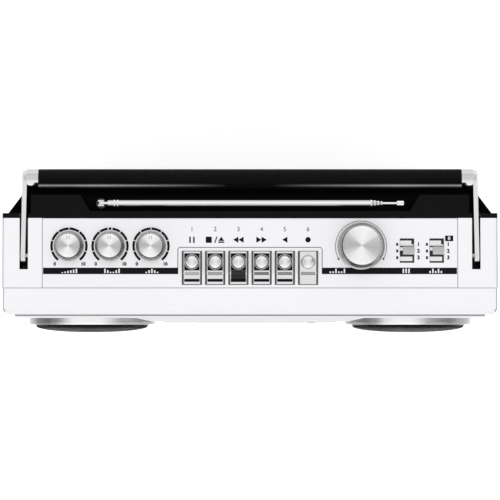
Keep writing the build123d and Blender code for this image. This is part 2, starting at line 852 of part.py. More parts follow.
def knob(x, radius, cap_radius, height, bore_radius):
    """A knob with a base flange and a tapered skirt, recessed on top for its disc."""
    low = z_top + knob_gap
    top = low + height
    seat = top - cap_depth
    waist = radius - knob_flange_step
    neck = cap_radius + knob_rim
    points = [(0, low), (radius, low), (radius, low + knob_flange), (waist, low + knob_flange + 0.6),
              (neck, top - 0.4), (neck - 0.4, top), (cap_radius + fit, top), (cap_radius + fit, seat), (0, seat)]
    body = turned_about_z(points, x, y_control)
    if bore_radius:
        return body - rod_z(bore_radius, x, y_control, (low - 1, seat - cap_depth))
    return body + rod_z(small_shaft_radius, x, y_control, (z_board + pot_height / 2, low + 1))


def knob_cap(x, cap_radius, height):
    """A turned metal disc with a raised rim, let into the knob's top."""
    low = z_top + knob_gap + height - cap_depth
    top = low + cap_depth + cap_proud
    points = [(0, low), (cap_radius, low), (cap_radius, top - 0.3), (cap_radius - 0.3, top),
              (cap_radius - 1.2, top), (cap_radius - 1.5, top - 0.3), (0, top - 0.7)]
    return turned_about_z(points, x, y_control)


def potentiometers():
    bodies = None
    for x in (volume_x, balance_x, tone_x):
        pot = Pos(x, y_control, z_board + pot_height / 2) * Box(pot_size, pot_size, pot_height)
        pot += rod_z(bushing_radius + 2, x, y_control, (z_board + pot_height, z_under))
        pot += rod_z(bushing_radius, x, y_control, (z_under - 0.5, z_top))
        pot -= rod_z(small_shaft_radius + shaft_fit, x, y_control, (z_board + pot_height / 2 - 1, z_top + 1))
        bodies = pot if bodies is None else bodies + pot
    return bodies


def tuning_shaft():
    low = z_board - board_thickness - gang_height - slack - pulley_thickness
    top = z_top + knob_gap + tuning_knob_height - 2 * cap_depth
    return rod_z(tuning_shaft_radius, tuning_x, y_control, (low, top))


def drum_x():
    return tuning_x + tuning_shaft_radius + pulley_radius + 0.5


def tuning_gang():
    top = z_board - board_thickness
    gang = Pos(drum_x(), y_control, top - gang_height / 2) * Box(gang_size, gang_size, gang_height)
    return gang - rod_z(gang_shaft_radius + shaft_fit, drum_x(), y_control, (top - gang_height - 1, top - 2))


def tuning_drum():
    top = z_board - board_thickness - gang_height - slack
    drum = rod_z(pulley_radius, drum_x(), y_control, (top - pulley_thickness, top))
    groove = rod_z(pulley_radius + 1, drum_x(), y_control, (top - pulley_thickness + 2, top - 2))
    drum -= groove - rod_z(pulley_radius - 1.5, drum_x(), y_control, (top - pulley_thickness, top))
    return drum + rod_z(gang_shaft_radius, drum_x(), y_control, (top - 1, top + gang_height - 3))


def slide_switches():
    low, high = z_board, z_under - slack - slider_thickness - slack
    bodies = None
    for x in (band_x, function_x):
        half = switch_slot_width / 2
        length = lever_pin / 2 + switch_travel + 1
        body = block((x - half, x + half), (y_switch - length - 3, y_switch + length + 3), (low, high))
        pin = lever_pin / 2 + slack
        body -= block((x - pin, x + pin), (y_switch - length, y_switch + length),
                      (high - lever_pin_depth - 1, high + 1))
        bodies = body if bodies is None else bodies + body
    return bodies


def switch_lever(x):
    """A slider under the panel with a stepped finger block that stands up through the slot."""
    top = z_under - slack
    low = top - slider_thickness
    half = switch_slot_width / 2 - slack
    reach = switch_slot_length / 2 + switch_travel + slider_lap
    lever = block((x - half, x + half), (y_switch - reach, y_switch + reach), (low, top))
    right = x + half
    left = right - lever_width
    step = lever_length / 2
    lever += block((left, right), (y_switch - step, y_switch + step), (top - 0.5, z_top + lever_rise))
    foot = step + lever_step
    lever += block((x - half, right - slack), (y_switch, y_switch + foot), (top - 0.5, z_top - slack))
    pin = lever_pin / 2
    pin_z = (low - lever_pin_depth, low + 0.5)
    return lever + block((x - pin, x + pin), (y_switch - pin, y_switch + pin), pin_z)


def dial_window():
    edge = fit
    return block(symmetric(window_half_width - edge), (y_island, y_island + window_thickness),
                 (window_z + edge, window_z + window_height - edge))


def dial_scale():
    front = y_bezel + scale_setback
    scale_top = scale_z + scale_height
    board = block(symmetric(scale_half_width), (front, front + scale_thickness), (scale_z, scale_top))
    for z in (scale_z + post_inset, scale_top - 2.5 * post_inset):
        board += both_sides(rod_y(post_radius, scale_half_width - 2 * post_inset, (y_bezel, front + 0.5), z))
    z = pointer_rail_z()
    bracket = block((scale_half_width - 3, scale_half_width), (pointer_y() - 3, front + scale_thickness),
                    (scale_top - 6, z + 3))
    board += both_sides(bracket)
    return board - rod_x(rail_radius + shaft_fit, symmetric(scale_half_width + 1), pointer_y(), z)


def pointer_rail_z():
    return scale_z + scale_height + rail_rise


def pointer_y():
    return y_bezel + pointer_setback


def pointer_rail():
    return rod_x(rail_radius, symmetric(scale_half_width), pointer_y(), pointer_rail_z())


def dial_pointer():
    z = pointer_rail_z()
    half = carriage_size / 2
    carriage_y = (pointer_y() - half, pointer_y() + half)
    carriage = block(symmetric(carriage_width / 2), carriage_y, (z - half, z + half))
    carriage += block(symmetric(pointer_width / 2), (pointer_y() - 0.5, pointer_y() + 0.5),
                      (z - half - pointer_length, z - half + 0.5))
    return carriage - rod_x(rail_radius + shaft_fit, symmetric(carriage_width), pointer_y(), z)


def deck_chassis():
    front = y_bezel + deck_setback
    plate = block(symmetric(deck_half_width), (front, front + deck_plate), (deck_z, deck_z + deck_height))
    for z in (deck_z + post_inset + 1, deck_z + deck_height - post_inset - 1):
        plate += both_sides(rod_y(post_radius, deck_half_width - post_inset, (y_bezel, front + 0.5), z))
    shelf_z = deck_z + deck_height
    plate += block(symmetric(deck_half_width), (front, front + deck_shelf), (shelf_z - deck_plate, shelf_z))
    plate += both_sides(rod_y(spindle_radius + 2.5, spindle_x, (front, front + bearing_length), spindle_z))
    bore = rod_y(spindle_radius + shaft_fit, spindle_x, (front - 1, front + bearing_length + 1), spindle_z)
    return plate - both_sides(bore)


def spindle(x):
    front = y_bezel + deck_setback
    hub = front - slack
    body = rod_y(spindle_radius, x, (front - spindle_reach, front + bearing_length + 2), spindle_z)
    body += rod_y(spindle_hub_radius, x, (hub - spindle_hub_thickness, hub), spindle_z)
    for i in range(3):
        fin = block((0, spindle_radius + 1.2), (front - spindle_reach + 1, hub), (-0.5, 0.5))
        body += Pos(x, 0, spindle_z) * Rot(0, 120 * i, 0) * fin
    return body


def cassette_door():
    half = deck_door_half_width - slack
    top = deck_door_z + deck_door_height - slack
    slab = y_island + deck_door_thickness
    door = hinged_panel(half, y_island, 1, deck_door_thickness, deck_barrel_radius, deck_axis_z, top)
    door += rod_x(deck_pin_radius, symmetric(half + slack + deck_pin_length), deck_axis_y, deck_axis_z)
    door -= deck_window_seat(0, 1.5)
    door -= deck_window_seat(seat_lip, 5)
    back = slab + pocket_depth
    rail = block((pocket_half_width - pocket_wall, pocket_half_width), (slab - 0.5, back),
                 (deck_axis_z + 3, top - 2 * pocket_wall))
    door += both_sides(rail)
    shelf_z = deck_axis_z + deck_barrel_radius - pocket_shelf_sink
    return door + block(symmetric(pocket_half_width), (slab - 0.5, back),
                        (shelf_z, shelf_z + pocket_shelf))


def deck_window_seat(lip, depth):
    return block(symmetric(deck_window_half_width - lip), (y_island - 1, y_island + depth),
                 (deck_window_z + lip, deck_window_z + deck_window_height - lip))


def cassette_window():
    return block(symmetric(deck_window_half_width - fit), (y_island, y_island + 1.5),
                 (deck_window_z + fit, deck_window_z + deck_window_height - fit))


def handle_arm():
    outer = slot_outer - arm_outer_gap
    inner = outer - arm_thickness
    length = math.hypot(grip_y - pivot_y, pivot_z - grip_z)
    plate = block((inner, outer), (0, length), symmetric(arm_half_height))
    plate += rod_x(arm_half_height, (inner, outer), 0, 0)
    plate += rod_x(arm_half_height, (inner, outer), length, 0)
    arm = Pos(0, pivot_y, pivot_z) * Rot(-math.degrees(arm_slope), 0, 0) * plate
    cap = rod_x(grip_radius, (grip_half_length, outer), grip_y, grip_z)
    cap = fillet(cap.faces().sort_by(Axis.X)[-1].edges(), cap_round)
    arm += cap
    arm += rod_x(spigot_radius, (grip_half_length - spigot_length, grip_half_length + 1), grip_y, grip_z)
    return arm - rod_x(handle_pin_radius + shaft_fit, (inner - 1, outer + 1), pivot_y, pivot_z)


def handle_grip():
    section = Circle(grip_radius)
    for i in range(grip_ribs):
        turn = 360 / grip_ribs * i
        section -= Rot(0, 0, turn) * Pos(grip_radius + grip_rib_depth, 0) * Circle(2 * grip_rib_depth)
    section -= Circle(spigot_radius + fit)
    start = Plane(origin=(-grip_half_length, grip_y, grip_z), x_dir=(0, 1, 0), z_dir=(1, 0, 0))
    return extrude(start * section, 2 * grip_half_length)


def handle_pivot_pins():
    reach = slot_wall - 0.2
    return both_sides(rod_x(handle_pin_radius, (slot_inner - reach, slot_outer + reach), pivot_y, pivot_z))


def antenna_base():
    base = rod_z(antenna_stud_radius, antenna_x, antenna_y, (recess_z - cover_wall, recess_z + 1))
    disc_top = antenna_z - knuckle_half - slack
    base += rod_z(antenna_stud_radius + 1.5, antenna_x, antenna_y, (recess_z + slack / 2, disc_top))
    half = knuckle_width / 2
    gap = antenna_neck_thickness / 2 + slack / 2
    cheek_x = (antenna_x - knuckle_half, antenna_x + knuckle_half)
    cheek = block(cheek_x, (gap, half), (disc_top - 0.5, antenna_z + neck_half_height))
    cheek = Pos(0, antenna_y, 0) * (cheek + mirror(cheek, about=Plane.XZ))
    base += cheek
    return base + rod_y(tilt_pin_radius, antenna_x, (antenna_y - half, antenna_y + half), antenna_z)


def antenna_start():
    return antenna_x + antenna_neck


def antenna_bore(level):
    """The bore radius of a tube, counted from the thickest one, 0."""
    return antenna_radius - (level + 1) * antenna_wall - level * shaft_fit


def antenna_tube():
    start = antenna_start()
    end = start + antenna_length
    tube = rod_x(antenna_radius, (start, end), antenna_y, antenna_z)
    tube -= rod_x(antenna_bore(0), (start + antenna_neck, end + 1), antenna_y, antenna_z)
    half = antenna_neck_thickness / 2
    across = (antenna_y - half, antenna_y + half)
    tall = (antenna_z - neck_half_height, antenna_z + neck_half_height)
    neck = block((antenna_x, start + 1), across, tall) + rod_y(neck_half_height, antenna_x, across, antenna_z)
    hole = rod_y(tilt_pin_radius + shaft_fit, antenna_x, (across[0] - 1, across[1] + 1), antenna_z)
    return tube + neck - hole


def antenna_section(level):
    """One of the tubes that slide in the main one, counted from 1 at the thickest."""
    start = antenna_start() + antenna_neck + level
    end = antenna_start() + antenna_length + level * antenna_step
    radius = antenna_bore(level - 1) - shaft_fit
    bore = antenna_bore(level) if level < 3 else antenna_rod_radius + shaft_fit
    section = rod_x(radius, (start, end), antenna_y, antenna_z)
    return section - rod_x(bore, (start - 1, end + 1), antenna_y, antenna_z)


def antenna_rod_end():
    return antenna_start() + antenna_length + 3 * antenna_step + antenna_rod_show


def antenna_rod():
    start = antenna_start() + antenna_neck + 4
    return rod_x(antenna_rod_radius, (start, antenna_rod_end()), antenna_y, antenna_z)


def antenna_tip():
    end = antenna_rod_end()
    start = end - antenna_tip_overlap
    tip = rod_x(antenna_tip_radius, (start, start + antenna_tip_length), antenna_y, antenna_z)
    tip = fillet(tip.faces().sort_by(Axis.X)[-1].edges(), 1.0)
    return tip - rod_x(antenna_rod_radius, (start - 1, end), antenna_y, antenna_z)


parts["main_cabinet"] = main_cabinet()
parts["front_bezel"] = front_bezel()
parts["front_plate"] = front_plate()
parts["control_panel"] = control_panel()
parts["key_guide"] = key_guide()
parts["rear_cover"] = rear_cover()
parts["rubber_feet"] = feet()
parts["case_screws"] = case_screws()
parts["handle_pivot_pins"] = handle_pivot_pins()
parts["speaker_rings"] = speaker_rings()
parts["speaker_grilles"] = speaker_grilles()
parts["speaker_frames"] = speaker_frames()
parts["speaker_cones"] = speaker_cones()
parts["speaker_magnets"] = speaker_magnets()
parts["dial_window"] = dial_window()
parts["dial_scale"] = dial_scale()
parts["pointer_rail"] = pointer_rail()
parts["dial_pointer"] = dial_pointer()
parts["tuning_shaft"] = tuning_shaft()
parts["tuning_gang"] = tuning_gang()
parts["tuning_drum"] = tuning_drum()
parts["potentiometers"] = potentiometers()
parts["slide_switches"] = slide_switches()
parts["control_boards"] = control_boards()
parts["deck_chassis"] = deck_chassis()
parts["supply_spindle"] = spindle(-spindle_x)
parts["takeup_spindle"] = spindle(spindle_x)
parts["cassette_door"] = cassette_door()
parts["cassette_window"] = cassette_window()
parts["main_board"] = main_board()
parts["power_transformer"] = power_transformer()
parts["mains_inlet"] = mains_inlet()
parts["headphone_jack"] = headphone_jack()
parts["battery_door"] = battery_door()
parts["handle_grip"] = handle_grip()
parts["handle_arm_right"] = handle_arm()
parts["handle_arm_left"] = mirror(handle_arm(), about=Plane.YZ)
parts["antenna_base"] = antenna_base()
parts["antenna_tube"] = antenna_tube()
for level in (1, 2, 3):
    parts[f"antenna_section_{level + 1}"] = antenna_section(level)
parts["antenna_rod"] = antenna_rod()
parts["antenna_tip"] = antenna_tip()
for name, x in (("volume", volume_x), ("balance", balance_x), ("tone", tone_x)):
    parts[f"{name}_knob"] = knob(x, small_knob_radius, small_cap_radius, small_knob_height, 0)
    parts[f"{name}_cap"] = knob_cap(x, small_cap_radius, small_knob_height)
parts["tuning_knob"] = knob(tuning_x, tuning_knob_radius, tuning_cap_radius, tuning_knob_height,
                            tuning_shaft_radius + shaft_fit)
parts["tuning_cap"] = knob_cap(tuning_x, tuning_cap_radius, tuning_knob_height)
for name, x in zip(("pause", "stop", "fast_forward", "rewind", "play", "record"), key_xs()):
    parts[f"{name}_key"] = transport_key(x)
parts["band_lever"] = switch_lever(band_x)
parts["function_lever"] = switch_lever(function_x)

os.makedirs("parts", exist_ok=True)
for name, shape in parts.items():
    export_step(shape, f"parts/{name}.step")
print(len(parts), "nodes")
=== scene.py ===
import math

import bmesh
import bpy
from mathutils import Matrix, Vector


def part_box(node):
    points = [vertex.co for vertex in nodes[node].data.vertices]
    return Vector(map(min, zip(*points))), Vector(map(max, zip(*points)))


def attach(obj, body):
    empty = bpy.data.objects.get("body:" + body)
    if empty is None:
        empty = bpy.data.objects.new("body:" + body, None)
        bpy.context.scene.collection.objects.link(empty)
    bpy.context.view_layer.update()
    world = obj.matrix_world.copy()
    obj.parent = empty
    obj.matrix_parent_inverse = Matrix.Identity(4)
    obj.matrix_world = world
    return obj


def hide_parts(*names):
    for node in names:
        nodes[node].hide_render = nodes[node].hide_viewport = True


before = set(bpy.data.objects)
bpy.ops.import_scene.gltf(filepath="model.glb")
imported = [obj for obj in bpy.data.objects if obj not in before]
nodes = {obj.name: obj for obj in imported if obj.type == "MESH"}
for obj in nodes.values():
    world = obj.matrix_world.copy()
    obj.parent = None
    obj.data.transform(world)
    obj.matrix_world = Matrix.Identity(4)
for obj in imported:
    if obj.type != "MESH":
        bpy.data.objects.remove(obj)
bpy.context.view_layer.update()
MM = 0.001

KEY_NAMES = ("pause", "stop", "fast_forward", "rewind", "play", "record")
SMALL_KNOBS = ("volume", "balance", "tone")
SWITCH_BODIES = {"band_lever": "band_switch", "function_lever": "function_switch"}
PANEL_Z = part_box("control_panel")[1].z


# Places read from the frame

def corners_mm(node):
    """A node's lowest and highest corners, in millimetres."""
    return [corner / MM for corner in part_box(node)]


def centre(node):
    low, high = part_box(node)
    return (low + high) / 2


def centre_mm(node):
    return centre(node) / MM


def ring_distance():
    """How far each speaker's middle is from the middle of the radio."""
    low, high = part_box("speaker_rings")
    return high.x - (high.z - low.z) / 2


# Colours, and sizes of the finishes in metres

WHITE = (0.875, 0.862, 0.885)
BLACK = (0.006, 0.006, 0.0065)
LACQUER = (0.010, 0.010, 0.011)
SLIDER_BLACK_AND_SHADE = (0.008, 0.008, 0.008)
COVER = (0.0026, 0.0024, 0.0027)
COVER_RECESS_SHADE = (0.0004, 0.0003, 0.0004)
GRIP = (0.0016, 0.0016, 0.0018)
GRIP_HIGHLIGHT = (0.42, 0.42, 0.43)
EDGE_SHADE_GREY = (0.27, 0.27, 0.275)
BRIGHT = (0.86, 0.86, 0.87)
SATIN = (0.80, 0.80, 0.81)
LEVER_FOOT = (0.84, 0.84, 0.85)

# Each list of tones is a grey at a share of the way across
# The painted reflections on the left and the right speaker ring
LEFT_RING_REFLECTION_TONES = ((0.0, 0.4), (0.06, 0.3), (0.11, 0.14), (0.19, 0.15), (0.26, 0.36), (0.33, 0.8),
                   (0.38, 1.0), (0.6, 1.0), (0.68, 0.76), (0.76, 0.48), (0.9, 0.32), (1.0, 0.36))
RIGHT_RING_REFLECTION_TONES = ((0.0, 0.38), (0.08, 0.28), (0.17, 0.22), (0.23, 0.36), (0.29, 0.85), (0.34, 1.0),
                    (0.5, 1.0), (0.56, 0.78), (0.62, 0.5), (0.72, 0.4), (0.79, 0.24), (0.88, 0.3),
                    (1.0, 0.38))
# Painted reflections and shade on the knobs' skirts, on their shaded and their lit side
SKIRT_REFLECTION_TONES = ((0.0, 0.03), (0.22, 0.05), (0.36, 0.14), (0.48, 0.4), (0.58, 0.12), (0.68, 0.5),
              (0.85, 0.6), (1.0, 0.6))
LIT_SKIRT_REFLECTION_TONES = ((0.0, 0.3), (0.2, 0.5), (0.4, 0.62), (0.55, 0.3), (0.66, 0.6), (0.74, 0.12),
                    (0.85, 0.2), (1.0, 0.3))
TUBE_REFLECTION_TONES = ((0.0, 0.05), (0.12, 0.12), (0.24, 0.45), (0.4, 0.85), (0.6, 1.0), (0.78, 0.6),
              (0.9, 0.28), (1.0, 0.08))
COVER_SHEEN = ((0.0, 0.45), (0.2, 0.45), (0.3, 0.03), (0.85, 0.03), (1.0, 0.09))
ARM_REFLECTION_TONES = ((0.0, 0.78), (0.3, 0.78), (0.5, 0.72), (0.75, 0.64), (1.0, 0.5))
CAP_REFLECTION_TONES = ((0.0, 1.0), (0.2, 1.0), (0.4, 0.85), (0.55, 0.66), (0.8, 0.56), (1.0, 0.42))
FAN_HIGHLIGHT_TONES = ((0.0, 0.56), (0.22, 0.66), (0.45, 0.84), (0.7, 0.94), (1.0, 1.0))

# The share of blue in a grey
BLUE_TINT = 1.01

# Knobs and rings
FAN_LEAN = math.radians(14)
GROOVE_PITCH = 0.42 * MM
GROOVE_DEPTH = 0.003 * MM
SKIRT_BANDS = 3.6 * MM
DISC_EDGE = 0.2 * MM
RING_REACH = 60 * MM
# The side of each knob that the painted shade darkens
SMALL_KNOB_SHADED_SIDE = (0.35, -0.94)
TUNING_SHADED_SIDE = (-0.8, -0.6)

# Keys. The setback goes from the back edge to the dome's middle, and the slope and groove lie before that
KEY_TOP = PANEL_Z + 2.0 * MM
FIELD_DROP = 0.7 * MM
GROOVE_DROP = 1.7 * MM
DOME_SETBACK = 9.2 * MM
DOME_RADIUS = 6.75 * MM
DOME_FIELD = 7.7 * MM
KEY_BORDER = 7.2 * MM
BORDER_SHADE = 0.85
TREAD_HALF = 6.6 * MM
FINGER_GROOVE = (14.6 * MM, 17.8 * MM)
SLOPE = (8.9 * MM, 11.6 * MM)
WHOLE_SLOPE = (DOME_FIELD, FINGER_GROOVE[1])

# The painted dark reflection on each key's slope: how dark it is, and how far it reaches
SLOPE_REFLECTIONS = {"pause": (0.55, SLOPE), "stop": (0.65, SLOPE), "fast_forward": (0.97, WHOLE_SLOPE),
          "rewind": (0.8, SLOPE), "play": (0.75, SLOPE), "record": (0.65, SLOPE)}

# Levers, handle, antenna, case and rear cover
BLOCK_HALF = 3.5 * MM
BLOCK_FOOT = 0.1 * MM
LEVER_GAP_SHADE = (3.0 * MM, 4.3 * MM)
SLIDER_DEPTH = 2.9 * MM
HANDLE_END = 20 * MM
ARM_INNER = 199.3 * MM
TUBE_RADIUS = 2.9 * MM
TURRET_RISE = 0.3 * MM
# Where the painted shade lies on the white shells: along the outer top edges, and in the handle's slots
CASE_FLAT = 217.0 * MM
ROUNDING = (2.2 * MM, 0.7 * MM)
SLOT_SIDES = (197.0 * MM, 204.5 * MM)
SLOT_SHADE_MARGIN = 0.1 * MM
SLOT_SHADE_DEPTH = 0.3 * MM
COVER_LOW = 50 * MM
COVER_BACK = 38 * MM
RECESS_EDGES = (9 * MM, 1 * MM)
# Where the grip's painted highlight lies, how soft its edges are and where it fades
GRIP_HIGHLIGHT_Y = 2.9 * MM
GRIP_HIGHLIGHT_EDGE = (0.2 * MM, 1.5 * MM)
GRIP_HIGHLIGHT_ENDS = (20 * MM, 130 * MM)


# Materials

class Graph:
    """A node tree, and short calls that add nodes to it."""

    def __init__(self, tree):
        self.tree = tree

    def add(self, kind, **values):
        """A new node, with some of its properties or its sockets set."""
        made = self.tree.nodes.new(kind)
        for key, value in values.items():
            if hasattr(made, key):
                setattr(made, key, value)
            else:
                made.inputs[key.replace("_", " ")].default_value = value
        return made

    def feed(self, socket, value):
        """Gives a socket a link, a colour, a vector or a number."""
        if isinstance(value, bpy.types.NodeSocket):
            self.tree.links.new(value, socket)
        elif isinstance(value, tuple) and socket.type == "RGBA":
            socket.default_value = (*value, 1.0)
        else:
            socket.default_value = value

    def fill(self, made, values):
        for socket, value in zip(made.inputs, values):
            self.feed(socket, value)

    def math(self, operation, *values):
        made = self.add("ShaderNodeMath", operation=operation)
        self.fill(made, values)
        return made.outputs[0]

    def vector(self, operation, *values):
        """The same with vectors. A length or a dot product is a number."""
        made = self.add("ShaderNodeVectorMath", operation=operation)
        self.fill(made, values)
        return made.outputs["Value" if operation in ("LENGTH", "DOT_PRODUCT") else "Vector"]

    def split(self, vector):
        made = self.add("ShaderNodeSeparateXYZ")
        self.feed(made.inputs[0], vector)
        return made.outputs

    def inverse(self, value):
        return self.math("SUBTRACT", 1.0, value)

    def away(self, value, middle):
        return self.math("ABSOLUTE", self.math("SUBTRACT", value, middle))

    def within(self, value, low, high):
        """1 where the value is between the two limits, else 0."""
        above = self.math("GREATER_THAN", value, low)
        return self.math("MULTIPLY", above, self.math("LESS_THAN", value, high))

    def spread(self, value, low, high, start=0.3, end=0.7):
        """A number that goes from low to high as the value goes from start to end."""
        made = self.add("ShaderNodeMapRange", From_Min=start, From_Max=end, To_Min=low, To_Max=high)
        self.feed(made.inputs["Value"], value)
        return made.outputs[0]

    def mix(self, factor, first, second):
        made = self.add("ShaderNodeMix", data_type="RGBA")
        self.feed(made.inputs["Factor"], factor)
        self.feed(made.inputs[6], first)
        self.feed(made.inputs[7], second)
        return made.outputs[2]

    def tones(self, value, stops, tint=BLUE_TINT):
        """Grey tones along a value from 0 to 1, with soft steps between them."""
        ramp = self.add("ShaderNodeValToRGB")
        elements = ramp.color_ramp.elements
        elements[0].position, elements[1].position = stops[0][0], stops[-1][0]
        for position, _ in stops[1:-1]:
            elements.new(position)
        for element, (_, tone) in zip(elements, stops):
            element.color = (tone, tone, tone * tint, 1.0)
        self.feed(ramp.inputs[0], value)
        return ramp.outputs[0]


class Shader(Graph):
    """A material with one Principled BSDF and procedural detail on it."""

    def __init__(self, name, color, roughness, metallic=0.0, **sockets):
        self.material = bpy.data.materials.new(name)
        self.material.use_nodes = True
        super().__init__(self.material.node_tree)
        self.bsdf = self.tree.nodes["Principled BSDF"]
        self.normal = None
        self.set("Base Color", color)
        self.set("Roughness", roughness)
        self.set("Metallic", metallic)
        for socket, value in sockets.items():
            self.set(socket.replace("_", " "), value)

    def set(self, socket, value):
        self.feed(self.bsdf.inputs[socket], value)

    def place(self):
        return self.add("ShaderNodeTexCoord").outputs["Object"]

    def axes(self):
        return self.split(self.place())

    def from_line(self, middle):
        """The way from a vertical line through a point, and its length."""
        away = self.vector("MULTIPLY", self.vector("SUBTRACT", self.place(), middle), (1, 1, 0))
        return away, self.vector("LENGTH", away)

    def noise(self, scale, detail=4.0):
        made = self.add("ShaderNodeTexNoise", Scale=scale, Detail=detail)
        self.feed(made.inputs["Vector"], self.place())
        return made.outputs["Fac"]

    def rough(self, value, low, high):
        self.set("Roughness", self.spread(value, low, high))

    def bump(self, height, distance, strength=1.0):
        made = self.add("ShaderNodeBump", Strength=strength, Distance=distance)
        self.feed(made.inputs["Height"], height)
        if self.normal:
            self.feed(made.inputs["Normal"], self.normal)
        self.normal = made.outputs[0]
        self.set("Normal", self.normal)


def assign(shader, *names):
    """Gives a material to all slots of some nodes."""
    for name in names:
        piece = nodes[name]
        if not piece.data.materials:
            piece.data.materials.append(shader.material)
        for place in piece.material_slots:
            place.material = shader.material


def moulded_plastic(name, color, roughness, grain=0.02, shine=0.5):
    """Moulded plastic: a fine grain, a faint uneven gloss and a slight change of tone."""
    made = Shader(name, color, roughness, Specular_IOR_Level=shine)
    made.rough(made.noise(35.0), roughness * 0.85, min(1.0, roughness * 1.2))
    shade = tuple(tone * 0.985 for tone in color)
    made.set("Base Color", made.mix(made.spread(made.noise(9.0), 0.0, 1.0), color, shade))
    made.bump(made.noise(2600.0, 2.0), grain * MM)
    return made


def chrome(name, color, roughness, wear=0.1):
    """Plated metal with faint handling marks."""
    made = Shader(name, color, roughness, 1.0)
    made.rough(made.noise(60.0, 6.0), roughness * 0.7, roughness + wear)
    made.bump(made.noise(220.0, 3.0), 0.0015 * MM)
    return made


def polished(name):
    """Polished plating, without marks."""
    made = Shader(name, BRIGHT, 0.14, 1.0)
    made.rough(made.noise(30.0, 3.0), 0.12, 0.18)
    return made


def spun_metal(name, middle):
    """A disc turned on a lathe: fine rings, and bright fans from its middle to the back and the front, which
    the plating reflects and which are also painted into its colour as painted highlights.
    """
    made = Shader(name, (0.80, 0.80, 0.80), 0.3, 1.0, Anisotropic=0.8)
    away, distance = made.from_line(middle)
    turned = made.add("ShaderNodeVectorTransform", vector_type="VECTOR", convert_from="OBJECT",
                      convert_to="WORLD")
    made.feed(turned.inputs[0], away)
    outward = made.vector("NORMALIZE", turned.outputs[0])
    made.set("Tangent", outward)
    rings = made.math("SINE", made.math("MULTIPLY", distance, 2 * math.pi / GROOVE_PITCH))
    made.bump(rings, GROOVE_DEPTH, 0.5)
    # Painted highlights: bright fans and streaks set by the turn round the middle
    x, y, _ = made.split(outward)
    turn = made.math("ARCTAN2", x, y)
    fans = made.math("COSINE", made.math("SUBTRACT", made.math("MULTIPLY", turn, 2.0), FAN_LEAN))
    grain = made.add("ShaderNodeTexNoise", noise_dimensions="1D", Scale=1.0, Detail=2.0)
    made.feed(grain.inputs["W"], made.math("MULTIPLY", turn, 5.0))
    streaks = made.math("MULTIPLY", made.math("SUBTRACT", grain.outputs["Fac"], 0.5), 1.1)
    tone = made.spread(made.math("ADD", fans, streaks), 0.0, 1.0, -1.0, 1.0)
    made.set("Base Color", made.tones(tone, FAN_HIGHLIGHT_TONES))
    return made


def knob_plating(name, middle, disc, shaded_side):
    """A plated knob body: mottled grey bands round its disc, which are painted reflections and painted
    shade, darkest on one side.
    """
    made = chrome(name, (0.5, 0.5, 0.51), 0.24)
    away, distance = made.from_line(middle)
    side = made.vector("DOT_PRODUCT", made.vector("NORMALIZE", away), (*shaded_side, 0))
    # Painted shade: the bands are darkest on one side of the knob
    shade = made.spread(side, 0.15, 1.0, -0.7, 0.8)
    mottle = made.spread(made.noise(900.0, 2.0), -0.08, 0.08)
    across = made.spread(distance, 0.0, 1.0, disc - DISC_EDGE, disc + SKIRT_BANDS)
    across = made.math("ADD", across, mottle)
    skirt_reflections = made.tones(across, SKIRT_REFLECTION_TONES)
    made.set("Base Color", made.mix(shade, made.tones(across, LIT_SKIRT_REFLECTION_TONES), skirt_reflections))
    return made


def key_plating(name, middle, slope_reflection, slope_ends, lacquered):
    """A plated key with painted shade along its sides and a painted dark reflection on its slope. Most have
    a dark lacquered square round the dome and a dark finger groove as well."""
    made = chrome(name, BRIGHT, 0.30, 0.06)
    x, y, z = made.axes()
    # Painted reflection: the slope is darkened
    slope = made.within(y, middle.y - slope_ends[1], middle.y - slope_ends[0])
    slope = made.math("MULTIPLY", slope, made.math("LESS_THAN", made.away(x, middle.x), TREAD_HALF))
    # Painted shade along the key's sides
    border = made.math("GREATER_THAN", made.away(x, middle.x), KEY_BORDER)
    dark = made.math("MAXIMUM", made.math("MULTIPLY", slope, slope_reflection),
                     made.math("MULTIPLY", border, BORDER_SHADE))
    if lacquered:
        _, distance = made.from_line(middle)
        field = made.math("MULTIPLY", made.within(y, middle.y - DOME_FIELD, middle.y + DOME_FIELD),
                          made.math("GREATER_THAN", distance, DOME_RADIUS))
        field = made.math("MULTIPLY", field, made.math("LESS_THAN", z, KEY_TOP - FIELD_DROP))
        near, far = FINGER_GROOVE
        groove = made.math("MULTIPLY", made.within(y, middle.y - far, middle.y - near),
                           made.math("LESS_THAN", z, KEY_TOP - GROOVE_DROP))
        dark = made.math("MAXIMUM", dark, made.math("MAXIMUM", field, groove))
    made.set("Base Color", made.mix(dark, BRIGHT, LACQUER))
    return made


def lever_plating(name, middle):
    """A slide lever: a plated finger block with painted shade that darkens it towards the back, and a plated
    foot with a black painted shadow between them, on a black slider.
    """
    made = chrome(name, SATIN, 0.3)
    _, y, z = made.axes()
    block = made.math("GREATER_THAN", z, PANEL_Z + BLOCK_FOOT)
    # Painted shade: the finger block is darker towards its back
    shade = made.spread(y, 0.62, 0.5, middle.y - BLOCK_HALF, middle.y + BLOCK_HALF)
    plated = made.mix(block, LEVER_FOOT, shade)
    # Painted shadow: a black stripe on the foot just behind the finger block
    gap_shade = made.within(y, middle.y + LEVER_GAP_SHADE[0], middle.y + LEVER_GAP_SHADE[1])
    gap_shade = made.math("MULTIPLY", gap_shade, made.inverse(block))
    dark = made.math("MAXIMUM", made.math("LESS_THAN", z, PANEL_Z - SLIDER_DEPTH), gap_shade)
    made.set("Base Color", made.mix(dark, plated, SLIDER_BLACK_AND_SHADE))
    made.set("Metallic", made.inverse(dark))
    return made


